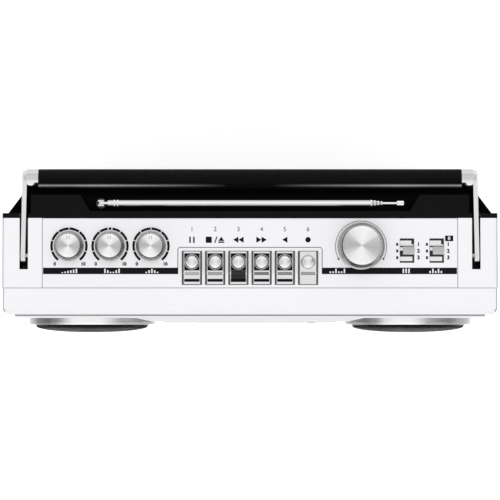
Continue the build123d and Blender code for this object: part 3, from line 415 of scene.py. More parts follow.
def ring_plating(name, middle_x):
    """The speaker rings: plated, with a painted reflection that is bright over the middle and dark grey
    towards both ends.
    """
    made = Shader(name, (0.6, 0.6, 0.61), 0.2, 1.0)
    x, _, _ = made.axes()
    sides = []
    # A painted reflection: grey tones across each ring from one end to the other
    for side, tones in ((-1, LEFT_RING_REFLECTION_TONES), (1, RIGHT_RING_REFLECTION_TONES)):
        along = made.math("SUBTRACT", x, side * middle_x)
        sides.append(made.tones(made.spread(along, 0.0, 1.0, -RING_REACH, RING_REACH), tones))
    made.set("Base Color", made.mix(made.math("GREATER_THAN", x, 0.0), *sides))
    made.rough(made.noise(40.0, 3.0), 0.16, 0.24)
    return made


def cover_shell(name):
    """The black rear shell: satin on its back, with painted shade that darkens it in its recess and on the
    step under the handle.
    """
    made = moulded_plastic(name, COVER, 0.42, 0.03)
    _, _, z = made.axes()
    # Painted shade: the colour darkens in the recess and on the step under the handle
    height = made.spread(z, 0.2, 1.0, *(PANEL_Z - edge for edge in RECESS_EDGES))
    back = made.math("LESS_THAN", z, PANEL_Z - COVER_BACK)
    made.set("Base Color", made.mix(made.math("MAXIMUM", height, back), COVER_RECESS_SHADE, COVER))
    sheen = made.tones(made.spread(z, 0.0, 1.0, PANEL_Z - COVER_LOW, PANEL_Z), COVER_SHEEN)
    made.set("Specular IOR Level", sheen)
    return made


def handle_plating(name):
    """The handle's arms and the caps at their ends: satin plating, with a painted reflection that is bright
    on the front of the caps and greyer towards the back.
    """
    made = chrome(name, (0.78, 0.78, 0.79), 0.12, 0.05)
    x, y, _ = made.axes()
    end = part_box("handle_arm_left")[1].y
    # A painted reflection: grey tones along the arms and caps from front to back
    along = made.spread(y, 0.0, 1.0, end - HANDLE_END, end)
    on_cap = made.math("LESS_THAN", made.math("ABSOLUTE", x), ARM_INNER)
    made.set("Base Color", made.mix(on_cap, made.tones(along, ARM_REFLECTION_TONES), made.tones(along, CAP_REFLECTION_TONES)))
    return made


def grip_finish(name):
    """Black grip with a painted highlight: a bright line low on its front side, which fades towards the
    middle.
    """
    made = moulded_plastic(name, GRIP, 0.4, shine=0.1)
    x, y, _ = made.axes()
    away = made.away(y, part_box("handle_grip")[0].y + GRIP_HIGHLIGHT_Y)
    line = made.spread(away, 1.0, 0.0, *GRIP_HIGHLIGHT_EDGE)
    ends = made.spread(made.math("ABSOLUTE", x), 0.0, 1.0, *GRIP_HIGHLIGHT_ENDS)
    # The painted highlight: a bright grey line mixed into the grip's colour
    made.set("Base Color", made.mix(made.math("MULTIPLY", line, ends), GRIP, GRIP_HIGHLIGHT))
    return made


def tube_plating(name, middle):
    """The antenna's main tube: polished, with a painted reflection: darker edges, the front one wider than
    the back one.
    """
    made = polished(name)
    _, y, _ = made.axes()
    # A painted reflection: grey tones across the tube from front to back
    across = made.spread(made.math("SUBTRACT", y, middle.y), 0.0, 1.0, -TUBE_RADIUS, TUBE_RADIUS)
    made.set("Base Color", made.tones(across, TUBE_REFLECTION_TONES))
    return made


def swivel_plating(name):
    """The antenna's swivel: a black turret under a plated fork."""
    made = chrome(name, SATIN, 0.2)
    _, _, z = made.axes()
    turret = made.math("LESS_THAN", z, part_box("antenna_tube")[0].z + TURRET_RISE)
    made.set("Base Color", made.mix(turret, SATIN, BLACK))
    made.set("Metallic", made.inverse(turret))
    return made


def white_case(name, slotted):
    """A white shell with painted shade: grey along its outer top edges, and where it has the handle's slots,
    black in them.
    """
    made = moulded_plastic(name, WHITE, 0.38)
    x, _, z = made.axes()
    out = made.math("ABSOLUTE", x)
    # Painted shade: a grey strip along the outer top edges
    edge_shade = made.math("MULTIPLY", made.math("GREATER_THAN", out, CASE_FLAT),
                         made.within(z, PANEL_Z - ROUNDING[0], PANEL_Z - ROUNDING[1]))
    shell = made.mix(edge_shade, WHITE, EDGE_SHADE_GREY)
    if slotted:
        # Painted shade: the insides of the handle's slots are coloured black
        across = made.within(out, SLOT_SIDES[0] - SLOT_SHADE_MARGIN, SLOT_SIDES[1] + SLOT_SHADE_MARGIN)
        slot_shade = made.math("MULTIPLY", across, made.math("LESS_THAN", z, PANEL_Z - SLOT_SHADE_DEPTH))
        shell = made.mix(slot_shade, shell, BLACK)
    made.set("Base Color", shell)
    return made


def clear_plastic(name):
    """Clear plastic with a faint uneven gloss."""
    made = Shader(name, (0.93, 0.95, 0.96), 0.03, IOR=1.49, Transmission_Weight=0.92)
    made.rough(made.noise(25.0), 0.01, 0.05)
    return made


# Materials of the scene's own pieces, and of the nodes that match them
black_shell = cover_shell("black_rear_shell")
print_black = moulded_plastic("black_print", (0.004, 0.003, 0.004), 0.5, 0.006, shine=0.12)
# Grey for print, and for the painted shadow along the front plate's top edge
print_and_shadow_grey = moulded_plastic("grey_print_and_shadow", (0.16, 0.16, 0.165), 0.5, 0.006)
print_white = moulded_plastic("white_print", (0.83, 0.83, 0.84), 0.5, 0.006)
seam_grey = moulded_plastic("seam_shadow", (0.30, 0.30, 0.31), 0.6, 0.006)
joint_grey = moulded_plastic("joint_shadow", (0.50, 0.50, 0.51), 0.6, 0.006)
grille_paint = moulded_plastic("grille_paint", (0.003, 0.003, 0.0033), 0.45, 0.015, shine=0.12)
antenna_chrome = polished("antenna_chrome")
trim_chrome = chrome("front_trim_chrome", (0.8, 0.8, 0.81), 0.14)
well_chrome = chrome("well_frame_chrome", (0.09, 0.09, 0.093), 0.3)
slider_silver = chrome("slider_silver", (0.93, 0.93, 0.94), 0.35)

assign(white_case("white_cabinet_shell", True), "main_cabinet")
assign(white_case("white_moulded_shell", False), "front_bezel")
assign(moulded_plastic("white_control_panel", WHITE, 0.33, 0.012), "control_panel")
assign(moulded_plastic("white_face_plate", (0.84, 0.835, 0.85), 0.3, 0.012), "front_plate", "cassette_door")
assign(black_shell, "rear_cover", "battery_door")
assign(moulded_plastic("black_matte_parts", BLACK, 0.6, shine=0.2), "key_guide", "mains_inlet",
       "potentiometers", "slide_switches", "supply_spindle", "takeup_spindle", "tuning_drum")
assign(grip_finish("ribbed_grip"), "handle_grip")
assign(handle_plating("handle_chrome"), "handle_arm_left", "handle_arm_right")
assign(ring_plating("speaker_ring_chrome", ring_distance()), "speaker_rings")
assign(antenna_chrome, "antenna_rod", "antenna_tip")
assign(tube_plating("antenna_tube_plating", centre("antenna_tube")), "antenna_tube")
assign(chrome("antenna_inner_chrome", (0.42, 0.42, 0.43), 0.2, 0.04), "antenna_section_2",
       "antenna_section_3", "antenna_section_4")
assign(swivel_plating("antenna_swivel_plating"), "antenna_base")
assign(chrome("zinc_steel", (0.55, 0.55, 0.57), 0.3, 0.2), "case_screws", "handle_pivot_pins",
       "pointer_rail", "tuning_shaft", "speaker_frames", "speaker_magnets", "tuning_gang", "deck_chassis",
       "power_transformer", "headphone_jack")
assign(moulded_plastic("foot_rubber", (0.02, 0.02, 0.02), 0.85, 0.06), "rubber_feet")
assign(moulded_plastic("circuit_board", (0.02, 0.12, 0.05), 0.45), "main_board", "control_boards")
assign(moulded_plastic("paper_cone", (0.03, 0.03, 0.032), 0.85, 0.08), "speaker_cones")
assign(moulded_plastic("dial_scale_face", (0.78, 0.76, 0.68), 0.5, 0.01), "dial_scale")
assign(moulded_plastic("pointer_red", (0.62, 0.03, 0.02), 0.35, 0.01), "dial_pointer")
assign(clear_plastic("clear_window"), "dial_window", "cassette_window")

for name in SWITCH_BODIES:
    assign(lever_plating(f"{name}_plating", centre(name)), name)
for name in (*SMALL_KNOBS, "tuning"):
    low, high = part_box(f"{name}_cap")
    middle = (low + high) / 2
    disc = (high.x - low.x) / 2
    shaded_side = TUNING_SHADED_SIDE if name == "tuning" else SMALL_KNOB_SHADED_SIDE
    assign(knob_plating(f"{name}_knob_plating", middle, disc, shaded_side), f"{name}_knob")
    assign(spun_metal(f"{name}_spun_disc", middle), f"{name}_cap")
for name in KEY_NAMES:
    low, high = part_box(f"{name}_key")
    middle = Vector(((low.x + high.x) / 2, high.y - DOME_SETBACK, 0))
    plating = key_plating(f"{name}_key_plating", middle, *SLOPE_REFLECTIONS[name], name != "record")
    assign(plating, f"{name}_key")


# Building meshes, in millimetres

class Solid:
    """Gathers closed shapes into one mesh, and turns them into a piece."""

    def __init__(self):
        self.points = []
        self.faces = []

    def prism(self, outline, low, high):
        count = len(outline)
        first = len(self.points)
        self.points += [(x, y, low) for x, y in outline]
        self.points += [(x, y, high) for x, y in outline]
        self.faces.append(tuple(first + i for i in reversed(range(count))))
        self.faces.append(tuple(first + count + i for i in range(count)))
        for i in range(count):
            j = (i + 1) % count
            self.faces.append((first + i, first + j, first + count + j, first + count + i))

    def box(self, x, y, z):
        self.prism([(x[0], y[0]), (x[1], y[0]), (x[1], y[1]), (x[0], y[1])], *z)

    def bar(self, x, y, width, depth, z):
        """A box round a middle point."""
        self.box((x - width / 2, x + width / 2), (y - depth / 2, y + depth / 2), z)

    def ring(self, outer, inner, z):
        """A flat rectangular ring between two rectangles, each with its two ends in x and in y."""
        first = len(self.points)
        for level in z:
            for x, y in (outer, inner):
                self.points += [(x[0], y[0], level), (x[1], y[0], level), (x[1], y[1], level),
                                (x[0], y[1], level)]
        # At each corner: the lower outer, lower inner, upper outer and upper inner point
        for i in range(4):
            j = (i + 1) % 4
            a, b, c, d = (first + i + 4 * loop for loop in range(4))
            e, f, g, h = (first + j + 4 * loop for loop in range(4))
            self.faces += [(e, a, b, f), (c, g, h, d), (a, e, g, c), (f, b, d, h)]

    def disc(self, x, y, radius, low, high, sides=24):
        turns = [2 * math.pi / sides * i for i in range(sides)]
        self.prism([(x + radius * math.cos(t), y + radius * math.sin(t)) for t in turns], low, high)

    def arc(self, middle, radius, width, start, end, low, high, step=3.0):
        """A curved bar; its angles are in degrees from straight up, positive to the right."""
        steps = max(1, math.ceil(abs(end - start) / step))
        turns = [math.radians(start + (end - start) * i / steps) for i in range(steps + 1)]
        outer, inner = ([(middle[0] + r * math.sin(t), middle[1] + r * math.cos(t)) for t in turns]
                        for r in (radius + width / 2, radius - width / 2))
        first = len(self.points)
        count = steps + 1
        up = 2 * count
        for z in (low, high):
            self.points += [(x, y, z) for x, y in outer + inner]
        for i in range(steps):
            a, b = first + i, first + i + 1
            c, d = a + count, b + count
            self.faces += [(a, b, d, c), (a + up, c + up, d + up, b + up),
                           (a, a + up, b + up, b), (c, d, d + up, c + up)]
        for i in (0, steps):
            a, c = first + i, first + i + count
            end_face = (a, c, c + up, a + up)
            self.faces.append(end_face if i == 0 else end_face[::-1])

    def text(self, words, x, y, low, high, size, weight=0.0):
        """Plain numerals, centred on a point."""
        curve = bpy.data.curves.new("numerals", "FONT")
        curve.body = words
        curve.size = size
        curve.align_x = "CENTER"
        curve.align_y = "CENTER"
        curve.extrude = (high - low) / 2
        curve.offset = weight * size
        carrier = bpy.data.objects.new("numerals", curve)
        mesh = bpy.data.meshes.new_from_object(carrier)
        # A heavy outline folds over itself in its notches, so all faces are turned outwards again
        joined = bmesh.new()
        joined.from_mesh(mesh)
        bmesh.ops.remove_doubles(joined, verts=joined.verts, dist=0.00001)
        bmesh.ops.recalc_face_normals(joined, faces=joined.faces)
        joined.to_mesh(mesh)
        joined.free()
        first = len(self.points)
        middle = (low + high) / 2
        self.points += [(v.co.x + x, v.co.y + y, v.co.z + middle) for v in mesh.vertices]
        self.faces += [tuple(first + i for i in face.vertices) for face in mesh.polygons]
        bpy.data.objects.remove(carrier)
        bpy.data.meshes.remove(mesh)

    def piece(self, name, shader, body="root", place=None, smooth=False):
        mesh = bpy.data.meshes.new(name)
        move = place or (lambda x, y, z: (x, y, z))
        mesh.from_pydata([tuple(c * MM for c in move(*point)) for point in self.points], [], self.faces)
        mesh.validate()
        mesh.update()
        if smooth:
            mesh.shade_smooth()
        made = bpy.data.objects.new(name, mesh)
        bpy.context.scene.collection.objects.link(made)
        mesh.materials.append(shader.material)
        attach(made, body)
        return made


def lathe(profile, sides):
    """A closed body of revolution about Z, from a closed outline of (radius, z)."""
    made = Solid()
    count = len(profile)
    for i in range(sides):
        turn = 2 * math.pi * i / sides
        made.points += [(r * math.cos(turn), r * math.sin(turn), z) for r, z in profile]
    for i in range(sides):
        here, there = i * count, (i + 1) % sides * count
        for j in range(count):
            k = (j + 1) % count
            made.faces.append((here + j, there + j, there + k, here + k))
    return made


def mirrored(side, near, far):
    """The two ends of a stretch on the left, -1, or the right, 1."""
    return sorted((side * near, side * far))


# Printing on the control panel

TOP = PANEL_Z / MM
INK = (TOP - 0.02, TOP + 0.05)
OVERPRINT = (INK[1] - 0.02, INK[1] + 0.04)
STRIP = (-21.9, -16.2)
STRIP_END = 183.6
OUTLINE_X = 64.0
OUTLINE_Y = 1.8
OUTLINE_ROUND = 2.2
OUTLINE_WIDTH = 0.75
DASH_RADIUS = 15.5
DASH_WIDTH = 2.15
DASH_END = 143.0
DASH_GAP = 1.3
DOT_RADIUS = 1.275
DOT_CLEARANCE = 8.0
SIGN_Y = 8.6
SIGN_TALL = 5.5
WIND_WIDTH = 4.7
PLAY_WIDTH = 4.6
RECORD_RADIUS = 2.45
TUNING_ARC_RADIUS = 22.7
TUNING_ARC_END = 119.0
TUNING_ARC_WIDTH = 0.6
TUNING_ARC_DOT = 1.0
MARK_SHIFT = -0.4
SWITCH_STEP = 5.9
SWITCH_DASH_X = -8.7
SWITCH_DASH = (1.8, 2.6)
SWITCH_NUMERAL_X = 10.2
LABEL_PLACE = (11.0, 9.8)
LABEL_SIZE = (7.2, 5.0)
STRIP_LAP = 0.2
KNOB_NUMERAL = (12.6, -16.0)
KEY_NUMERAL_Y = 17.8

# Each kind of numeral has a size and a weight
KNOB_TYPE = (4.0, 0.06)
KEY_TYPE = (5.6, 0.0)
SWITCH_TYPE = (4.5, 0.055)
LABEL_TYPE = (4.2, 0.04)
DIAL_TYPE = (5.0, 0.0)

# The bar patterns on the strips
BAR_PITCH = 2.5
BAR_WIDTH = 1.3
BAR_MARGIN = 0.9

# Each pattern's node, its shift beside that node and the share of the height of each bar
BAR_HEIGHTS = (
    ("volume_cap", 0.4, (0.2, 0.35, 0.5, 0.65, 0.8, 1.0)),
    ("balance_cap", 1.8, (1.0, 0.65, 0.3, 0.3, 0.65, 1.0)),
    ("tone_cap", 0.8, (0.3, 0.65, 1.0, 0.65, 0.3)),
    ("tuning_cap", -21.0, (0.4, 0.4, 1.0, 0.4, 0.4, 1.0)),
    ("band_lever", -0.8, (1.0, 1.0, 1.0)),
    ("function_lever", -1.0, (0.5, 1.0, 0.5, 1.0, 0.5)),
)


def dash_ring(ink, knob, with_dot):
    """Eight dashes round a small knob, with a dot in the middle where the control has a centre."""
    middle = centre_mm(f"{knob}_cap")
    span = DASH_END / 4
    for side in (-1, 1):
        for i in range(4):
            start = DOT_CLEARANCE if i == 0 and with_dot else i * span + DASH_GAP
            end = (i + 1) * span - DASH_GAP
            ink.arc(middle, DASH_RADIUS, DASH_WIDTH, side * start, side * end, *INK)
    if with_dot:
        ink.disc(middle.x, middle.y + DASH_RADIUS, DOT_RADIUS, *INK)


def key_outline(ink):
    """The thin line that runs from one strip up, over the keys and down to the other strip."""
    inner = OUTLINE_X - OUTLINE_ROUND
    half = OUTLINE_WIDTH / 2
    bend = OUTLINE_Y - OUTLINE_ROUND
    for side in (-1, 1):
        ink.box(mirrored(side, OUTLINE_X - half, OUTLINE_X + half), (STRIP[0], bend), INK)
        ink.arc((side * inner, bend), OUTLINE_ROUND, OUTLINE_WIDTH, 0, side * 90, *INK, step=9)
    ink.box((-inner, inner), (OUTLINE_Y - half, OUTLINE_Y + half), INK)


def triangle(ink, x, y, width, side):
    """A triangle that points to -1, the left, or 1, the right."""
    base = x - side * width / 2
    points = [(base, y - SIGN_TALL / 2), (base, y + SIGN_TALL / 2), (x + side * width / 2, y)]
    ink.prism(points if side < 0 else points[::-1], *INK)


def stop_eject_sign(ink, x, y):
    """A square, a slash, and a triangle over a bar."""
    low, high = y - SIGN_TALL / 2, y + SIGN_TALL / 2
    left, right = x + 2.7, x + 8.1
    ink.bar(x - 5.7, y, 5.4, SIGN_TALL, INK)
    ink.prism([(x - 0.9, low), (x + 0.2, low), (x + 2.1, high), (x + 1.0, high)], *INK)
    ink.prism([(left, y - 1.1), (right, y - 1.1), ((left + right) / 2, high)], *INK)
    ink.box((left, right), (low, y - 1.6), INK)


def transport_signs(ink):
    """The usual signs above the keys."""
    pause, stop, forward, rewind, play, record = (centre_mm(f"{name}_key").x for name in KEY_NAMES)
    for shift in (-1.7, 1.7):
        ink.bar(pause + shift, SIGN_Y, 1.4, SIGN_TALL, INK)
    stop_eject_sign(ink, stop, SIGN_Y)
    for x, side in ((forward, -1), (rewind, 1)):
        for shift in (-WIND_WIDTH / 2, WIND_WIDTH / 2):
            triangle(ink, x + shift, SIGN_Y, WIND_WIDTH, side)
    triangle(ink, play, SIGN_Y, PLAY_WIDTH, -1)
    ink.disc(record, SIGN_Y, RECORD_RADIUS, *INK)


def tuning_arc(ink):
    """The thin scale line round the tuning knob, with a dot at each end."""
    middle = centre_mm("tuning_cap") + Vector((0, MARK_SHIFT, 0))
    ink.arc(middle, TUNING_ARC_RADIUS, TUNING_ARC_WIDTH, -TUNING_ARC_END, TUNING_ARC_END, *INK)
    for side in (-1, 1):
        turn = math.radians(side * TUNING_ARC_END)
        ink.disc(middle.x + TUNING_ARC_RADIUS * math.sin(turn),
                 middle.y + TUNING_ARC_RADIUS * math.cos(turn), TUNING_ARC_DOT, *INK)


def switch_marks(ink, lever, numerals):
    """Three dashes beside a slide switch and plain numerals on its other side."""
    middle = centre_mm(lever)
    for i in (-1, 0, 1):
        y = middle.y + MARK_SHIFT + i * SWITCH_STEP
        ink.bar(middle.x + SWITCH_DASH_X, y, *SWITCH_DASH, INK)
        numerals.text(str(2 - i), middle.x + SWITCH_NUMERAL_X, y, *INK, *SWITCH_TYPE)


def strip_marks():
    """Plain bar patterns on the black strips, in place of words."""
    marks = Solid()
    bottom = STRIP[0] + BAR_MARGIN
    tall = STRIP[1] - STRIP[0] - 2 * BAR_MARGIN
    for node, shift, heights in BAR_HEIGHTS:
        start = centre_mm(node).x + shift - (len(heights) - 1) / 2 * BAR_PITCH
        for i, share in enumerate(heights):
            x = start + i * BAR_PITCH
            marks.box((x - BAR_WIDTH / 2, x + BAR_WIDTH / 2), (bottom, bottom + tall * share), OVERPRINT)
    marks.piece("strip_marks", print_white)


def panel_printing():
    """Everything printed on the control panel."""
    ink = Solid()
    numerals = Solid()
    for side in (-1, 1):
        ink.box(mirrored(side, OUTLINE_X - STRIP_LAP, STRIP_END), STRIP, INK)
    for name in SMALL_KNOBS:
        dash_ring(ink, name, name == "balance")
        middle = centre_mm(f"{name}_cap")
        for side, words in ((-1, "0"), (1, "10")):
            numerals.text(words, middle.x + side * KNOB_NUMERAL[0], middle.y + KNOB_NUMERAL[1],
                          *INK, *KNOB_TYPE)
    transport_signs(ink)
    for i, name in enumerate(KEY_NAMES):
        numerals.text(str(i + 1), centre_mm(f"{name}_key").x, KEY_NUMERAL_Y, *INK, *KEY_TYPE)
    for lever in SWITCH_BODIES:
        switch_marks(ink, lever, numerals)
    label = centre_mm("function_lever").x + LABEL_PLACE[0], LABEL_PLACE[1]
    ink.bar(*label, *LABEL_SIZE, INK)
    ink.piece("panel_signs", print_black)
    numerals.piece("panel_numerals", print_black)
    outline = Solid()
    key_outline(outline)
    tuning_arc(outline)
    outline.piece("panel_lines", print_and_shadow_grey)
    zero = Solid()
    zero.text("0", *label, *OVERPRINT, *LABEL_TYPE)
    zero.piece("switch_zero", print_white)
    strip_marks()


# Frames, plates, joint lines and cut lines

WELL_GAP = 0.1
WELL_FRAME = 0.45
WELL_FRONT = 0.4
WELL_LEVEL = (TOP - 0.02, TOP + 0.25)

# The plates on the sliders: each one's right, front and back edge, from the middle of the lever
PLATE_LEVEL = (TOP - 3.35, TOP - 3.08)
PLATE_LEFT = -6.0
BACK_PLATE = (4.1, 4.5, 9.0)
FRONT_PLATE = (5.0, -9.2, -5.3)

SEAM_LEVEL = (TOP - 0.5, TOP + 0.02)
SIDE_SEAM = (-0.45, 0.2)
FRONT_JOINT = (-0.25, 0.3)
JOINT_HALF = 217.5
PLATE_SEAM_END = 0.5
PLATE_SEAM_DEPTH = (-1.0, -0.05)
PLATE_SEAM_HEIGHT = (-0.05, 0.1)

DISH_SLOPE = 0.045
POINTER_X = 1.0
POINTER_WIDTH = 0.44
POINTER_LINE = (5.6, 8.8)
POINTER_HEIGHT = (-0.9, -0.64)

# The slanted sides' corners: at the flange, and before the cover's back edge
FLANGE_DEPTH = 4.4
FLANGE_LAP = 1.0
SIDE_INNER = 212.0
SIDE_OUTER = 219.2
BACK_CORNER = (194.2, -0.4)
BACK_INNER = (192.0, -0.8)
SIDE_FOOT = 1.2
SIDE_TOP = -2.1


def key_well_frames():
    """A raised dark frame round each key's well."""
    frames = Solid()
    low, high = corners_mm("pause_key")
    half = (high.x - low.x) / 2 + WELL_GAP
    front, back = low.y - WELL_GAP, high.y + WELL_GAP
    for name in KEY_NAMES:
        x = centre_mm(f"{name}_key").x
        outer = (x - half - WELL_FRAME, x + half + WELL_FRAME), (front - WELL_FRONT, back + WELL_FRAME)
        frames.ring(outer, ((x - half, x + half), (front, back)), WELL_LEVEL)
    frames.piece("key_well_frames", well_chrome)


def slider_plates():
    """The two light faces of each slider that show in its slot, before and behind the finger block."""
    for lever, body in SWITCH_BODIES.items():
        middle = centre_mm(lever)
        plates = Solid()
        for right, front, back in (BACK_PLATE, FRONT_PLATE):
            plates.box((middle.x + PLATE_LEFT, middle.x + right), (middle.y + front, middle.y + back),
                       PLATE_LEVEL)
        plates.piece(f"{lever}_plates", slider_silver, body)


def seams():
    """Grey strips that are painted shadows in the gaps beside and before the control panel, and along the
    front plate's top edge.
    """
    low, high = corners_mm("control_panel")
    sides = Solid()
    for side in (-1, 1):
        sides.box(mirrored(side, *(high.x + edge for edge in SIDE_SEAM)), (low.y, high.y), SEAM_LEVEL)
    sides.piece("panel_seams", seam_grey)
    joint = Solid()
    joint.box((-JOINT_HALF, JOINT_HALF), [low.y + edge for edge in FRONT_JOINT], SEAM_LEVEL)
    joint.piece("shell_joint", joint_grey)
    low, high = corners_mm("front_plate")
    bezel_front = corners_mm("front_bezel")[0].y
    # A painted shadow along the front plate's top edge, under the bezel
    plate = Solid()
    plate.box((low.x + PLATE_SEAM_END, high.x - PLATE_SEAM_END),
              [bezel_front + edge for edge in PLATE_SEAM_DEPTH],
              [high.z + edge for edge in PLATE_SEAM_HEIGHT])
    plate.piece("plate_seam", print_and_shadow_grey)


def knob_pointers():
    """Two fine cut lines that show where each small knob points. They follow its dished disc."""
    for name in SMALL_KNOBS:
        middle = centre_mm(f"{name}_cap")
        top = corners_mm(f"{name}_cap")[1].z
        lines = Solid()
        for x in (middle.x - POINTER_X, middle.x + POINTER_X):
            lines.box((x - POINTER_WIDTH / 2, x + POINTER_WIDTH / 2),
                      [middle.y + end for end in POINTER_LINE], [top + edge for edge in POINTER_HEIGHT])
        lines.piece(f"{name}_pointer_lines", print_and_shadow_grey, name,
                    place=lambda x, y, z, middle=middle: (x, y, z + DISH_SLOPE * (y - middle.y)))


def cover_sides():
    """The slanted sides of the rear cover, which start close to the outer edge of its flange."""
    low, high = corners_mm("rear_cover")
    top = corners_mm("handle_grip")[0].z + SIDE_TOP
    flange = low.y + FLANGE_DEPTH
    for side, name in ((-1, "cover_side_left"), (1, "cover_side_right")):
        plan = [(SIDE_INNER, flange - FLANGE_LAP), (SIDE_OUTER, flange - FLANGE_LAP), (SIDE_OUTER, flange)]
        plan += [(x, high.y + y) for x, y in (BACK_CORNER, BACK_INNER)]
        if side < 0:
            plan = [(-x, y) for x, y in reversed(plan)]
        wedge = Solid()
        wedge.prism(plan, low.z + SIDE_FOOT, top)
        wedge.piece(name, black_shell)


# Speaker grilles

HOLE_PITCH = 2.7
HOLE_RADIUS = 0.92
HOLE_CORNERS = 6
DOME_POWER = 2.15
GRILLE_FLANGE = 3.4
HOLE_MARGIN = 2.2
SHEET = 0.7
SHEET_DROP = 0.05
RIM_DROP = 0.1
RIM_WIDTH = 3.6
RIM_STEPS = 6
RIM_FOOT = -4.2
RIM_FOOT_WIDTH = 1.0
RIM_WALL = 0.9
RIM_SIDES = 96


def dome_height(radius, edge, height):
    """How far the dome stands out at a distance from its middle."""
    share = min(1.0, radius / edge)
    return height * (1 - share ** DOME_POWER) ** (1 / DOME_POWER)


def grille(side, name):
    """A domed sheet of steel with six-cornered holes in a honeycomb pattern, and a plain pressed rim."""
    low, high = corners_mm("speaker_grilles")
    flange = (high.z - low.z) / 2
    middle_x = side * (high.x - flange)
    middle_z = (high.z + low.z) / 2
    front = corners_mm("speaker_rings")[0].y
    height = front - low.y
    edge = flange - GRILLE_FLANGE
    sheet = Solid()
    lookup = {}

    def point(x, z):
        key = (round(x, 3), round(z, 3))
        if key not in lookup:
            lookup[key] = len(sheet.points)
            rise = dome_height(math.hypot(x, z), edge, height - SHEET_DROP)
            sheet.points.append((middle_x + x, front - rise, middle_z + z))
        return lookup[key]

    row_pitch = HOLE_PITCH * math.sqrt(0.75)
    rows = math.ceil(edge / row_pitch) + 1
    turns = [math.radians(30 + 60 * i) for i in range(HOLE_CORNERS)]
    for row in range(-rows, rows + 1):
        for column in range(-rows, rows + 1):
            x = (column + (row % 2) / 2) * HOLE_PITCH
            z = row * row_pitch
            if math.hypot(x, z) > edge - HOLE_MARGIN:
                continue
            outer, inner = ([point(x + r * math.cos(t), z + r * math.sin(t)) for t in turns]
                            for r in (HOLE_PITCH / math.sqrt(3), HOLE_RADIUS))
            for i in range(HOLE_CORNERS):
                j = (i + 1) % HOLE_CORNERS
                sheet.faces.append((outer[j], outer[i], inner[i], inner[j]))
    made = sheet.piece(name, grille_paint)
    thick = made.modifiers.new("thickness", "SOLIDIFY")
    thick.thickness = SHEET * MM
    thick.offset = -1.0
    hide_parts("speaker_grilles")

    radii = [edge - RIM_WIDTH * (1 - i / RIM_STEPS) for i in range(RIM_STEPS + 1)]
    face = [(r, dome_height(r, edge, height - RIM_DROP)) for r in radii]
    wall = [(r - RIM_WALL, z - RIM_WALL) for r, z in reversed(face[:-1])]
    rim = lathe([*face, (edge, RIM_FOOT), (edge - RIM_FOOT_WIDTH, RIM_FOOT), *wall], RIM_SIDES)
    rim.piece(name + "_rim", grille_paint, smooth=True,
              place=lambda x, y, z: (middle_x + x, front - z, middle_z - y))


# Antenna collars

SECTION_BODIES = (("antenna_tube", "antenna_mast"), ("antenna_section_2", "antenna_second"),
                  ("antenna_section_3", "antenna_third"), ("antenna_section_4", "antenna_fourth"))
BASE_COLLARS = (14.0, 17.0)
END_COLLAR = -0.75
COLLAR_SIDES = 32
COLLAR_PROFILE = ((-0.2, -0.7), (0.2, -0.55), (0.32, 0), (0.2, 0.55), (-0.2, 0.7))


def antenna_collars():
    """Small rolled collars near the base and at the end of each tube."""
    mast_start = corners_mm("antenna_tube")[0].x
    places = [(*SECTION_BODIES[0], mast_start + shift) for shift in BASE_COLLARS]
    places += [(node, body, corners_mm(node)[1].x + END_COLLAR) for node, body in SECTION_BODIES]
    for i, (node, body, x) in enumerate(places):
        middle = centre_mm(node)
        low, high = corners_mm(node)
        radius = (high.y - low.y) / 2
        collar = lathe([(radius + rise, z) for rise, z in COLLAR_PROFILE], COLLAR_SIDES)
        collar.piece(f"antenna_collar_{i + 1}", antenna_chrome, body, smooth=True,
                     place=lambda u, v, w, x=x, middle=middle: (x + w, middle.y + u, middle.z + v))


# Front trim and dial

BEVEL = 0.15
TRIM_DEPTH = 0.6
DIAL_ROWS = ((218.0, range(88, 109, 4)), (202.0, range(6, 17, 2)))
DIAL_SCALE = 100
DIAL_LINE = 56
DIAL_FACE = 1.6
DIAL_INK = (-0.02, 0.06)
UNDERLINE = (-4.2, -3.8)
TICK_TOP = -4.0
SMALL_TICKS = 4

# Each kind of tick has a width and the height of its foot
NUMERAL_TICK = (0.5, -6.6)
SMALL_TICK = (0.24, -5.4)


def window_trim(name, window, width, rise, body="root"):
    """A raised rectangular frame round a window, with bevelled edges."""
    low, high = corners_mm(window)
    made = Solid()
    steps = [(0.0, 0.0), (BEVEL, rise), (width - BEVEL, rise), (width, 0.0), (width, -TRIM_DEPTH),
             (0.0, -TRIM_DEPTH)]
    for right, up in ((-1, -1), (1, -1), (1, 1), (-1, 1)):
        x = high.x if right > 0 else low.x
        z = high.z if up > 0 else low.z
        made.points += [(x + right * out, low.y - proud, z + up * out) for out, proud in steps]
    count = len(steps)
    for i in range(4):
        j = (i + 1) % 4
        for k in range(count):
            m = (k + 1) % count
            made.faces.append((i * count + k, i * count + m, j * count + m, j * count + k))
    made.piece(name, trim_chrome, body)


def dial_tick(marks, x, z, width, foot):
    marks.box((x - width / 2, x + width / 2), (z + foot, z + TICK_TOP), DIAL_INK)


def dial_numerals():
    """Two scales of plain numerals, each over a line with ticks, printed on the dial scale."""
    face = corners_mm("dial_scale")[1].y - DIAL_FACE
    marks = Solid()
    for z, numbers in DIAL_ROWS:
        marks.box((-DIAL_LINE, DIAL_LINE), [z + edge for edge in UNDERLINE], DIAL_INK)
        spaces = len(numbers) - 1
        for i, number in enumerate(numbers):
            x = DIAL_SCALE * (i / spaces - 0.5)
            marks.text(str(number), x, z, *DIAL_INK, *DIAL_TYPE)
            dial_tick(marks, x, z, *NUMERAL_TICK)
        for i in range(SMALL_TICKS * spaces):
            dial_tick(marks, DIAL_SCALE * (i / (SMALL_TICKS * spaces) - 0.5), z, *SMALL_TICK)
    marks.piece("dial_numerals", print_black, place=lambda x, y, z: (x, face - z, y))


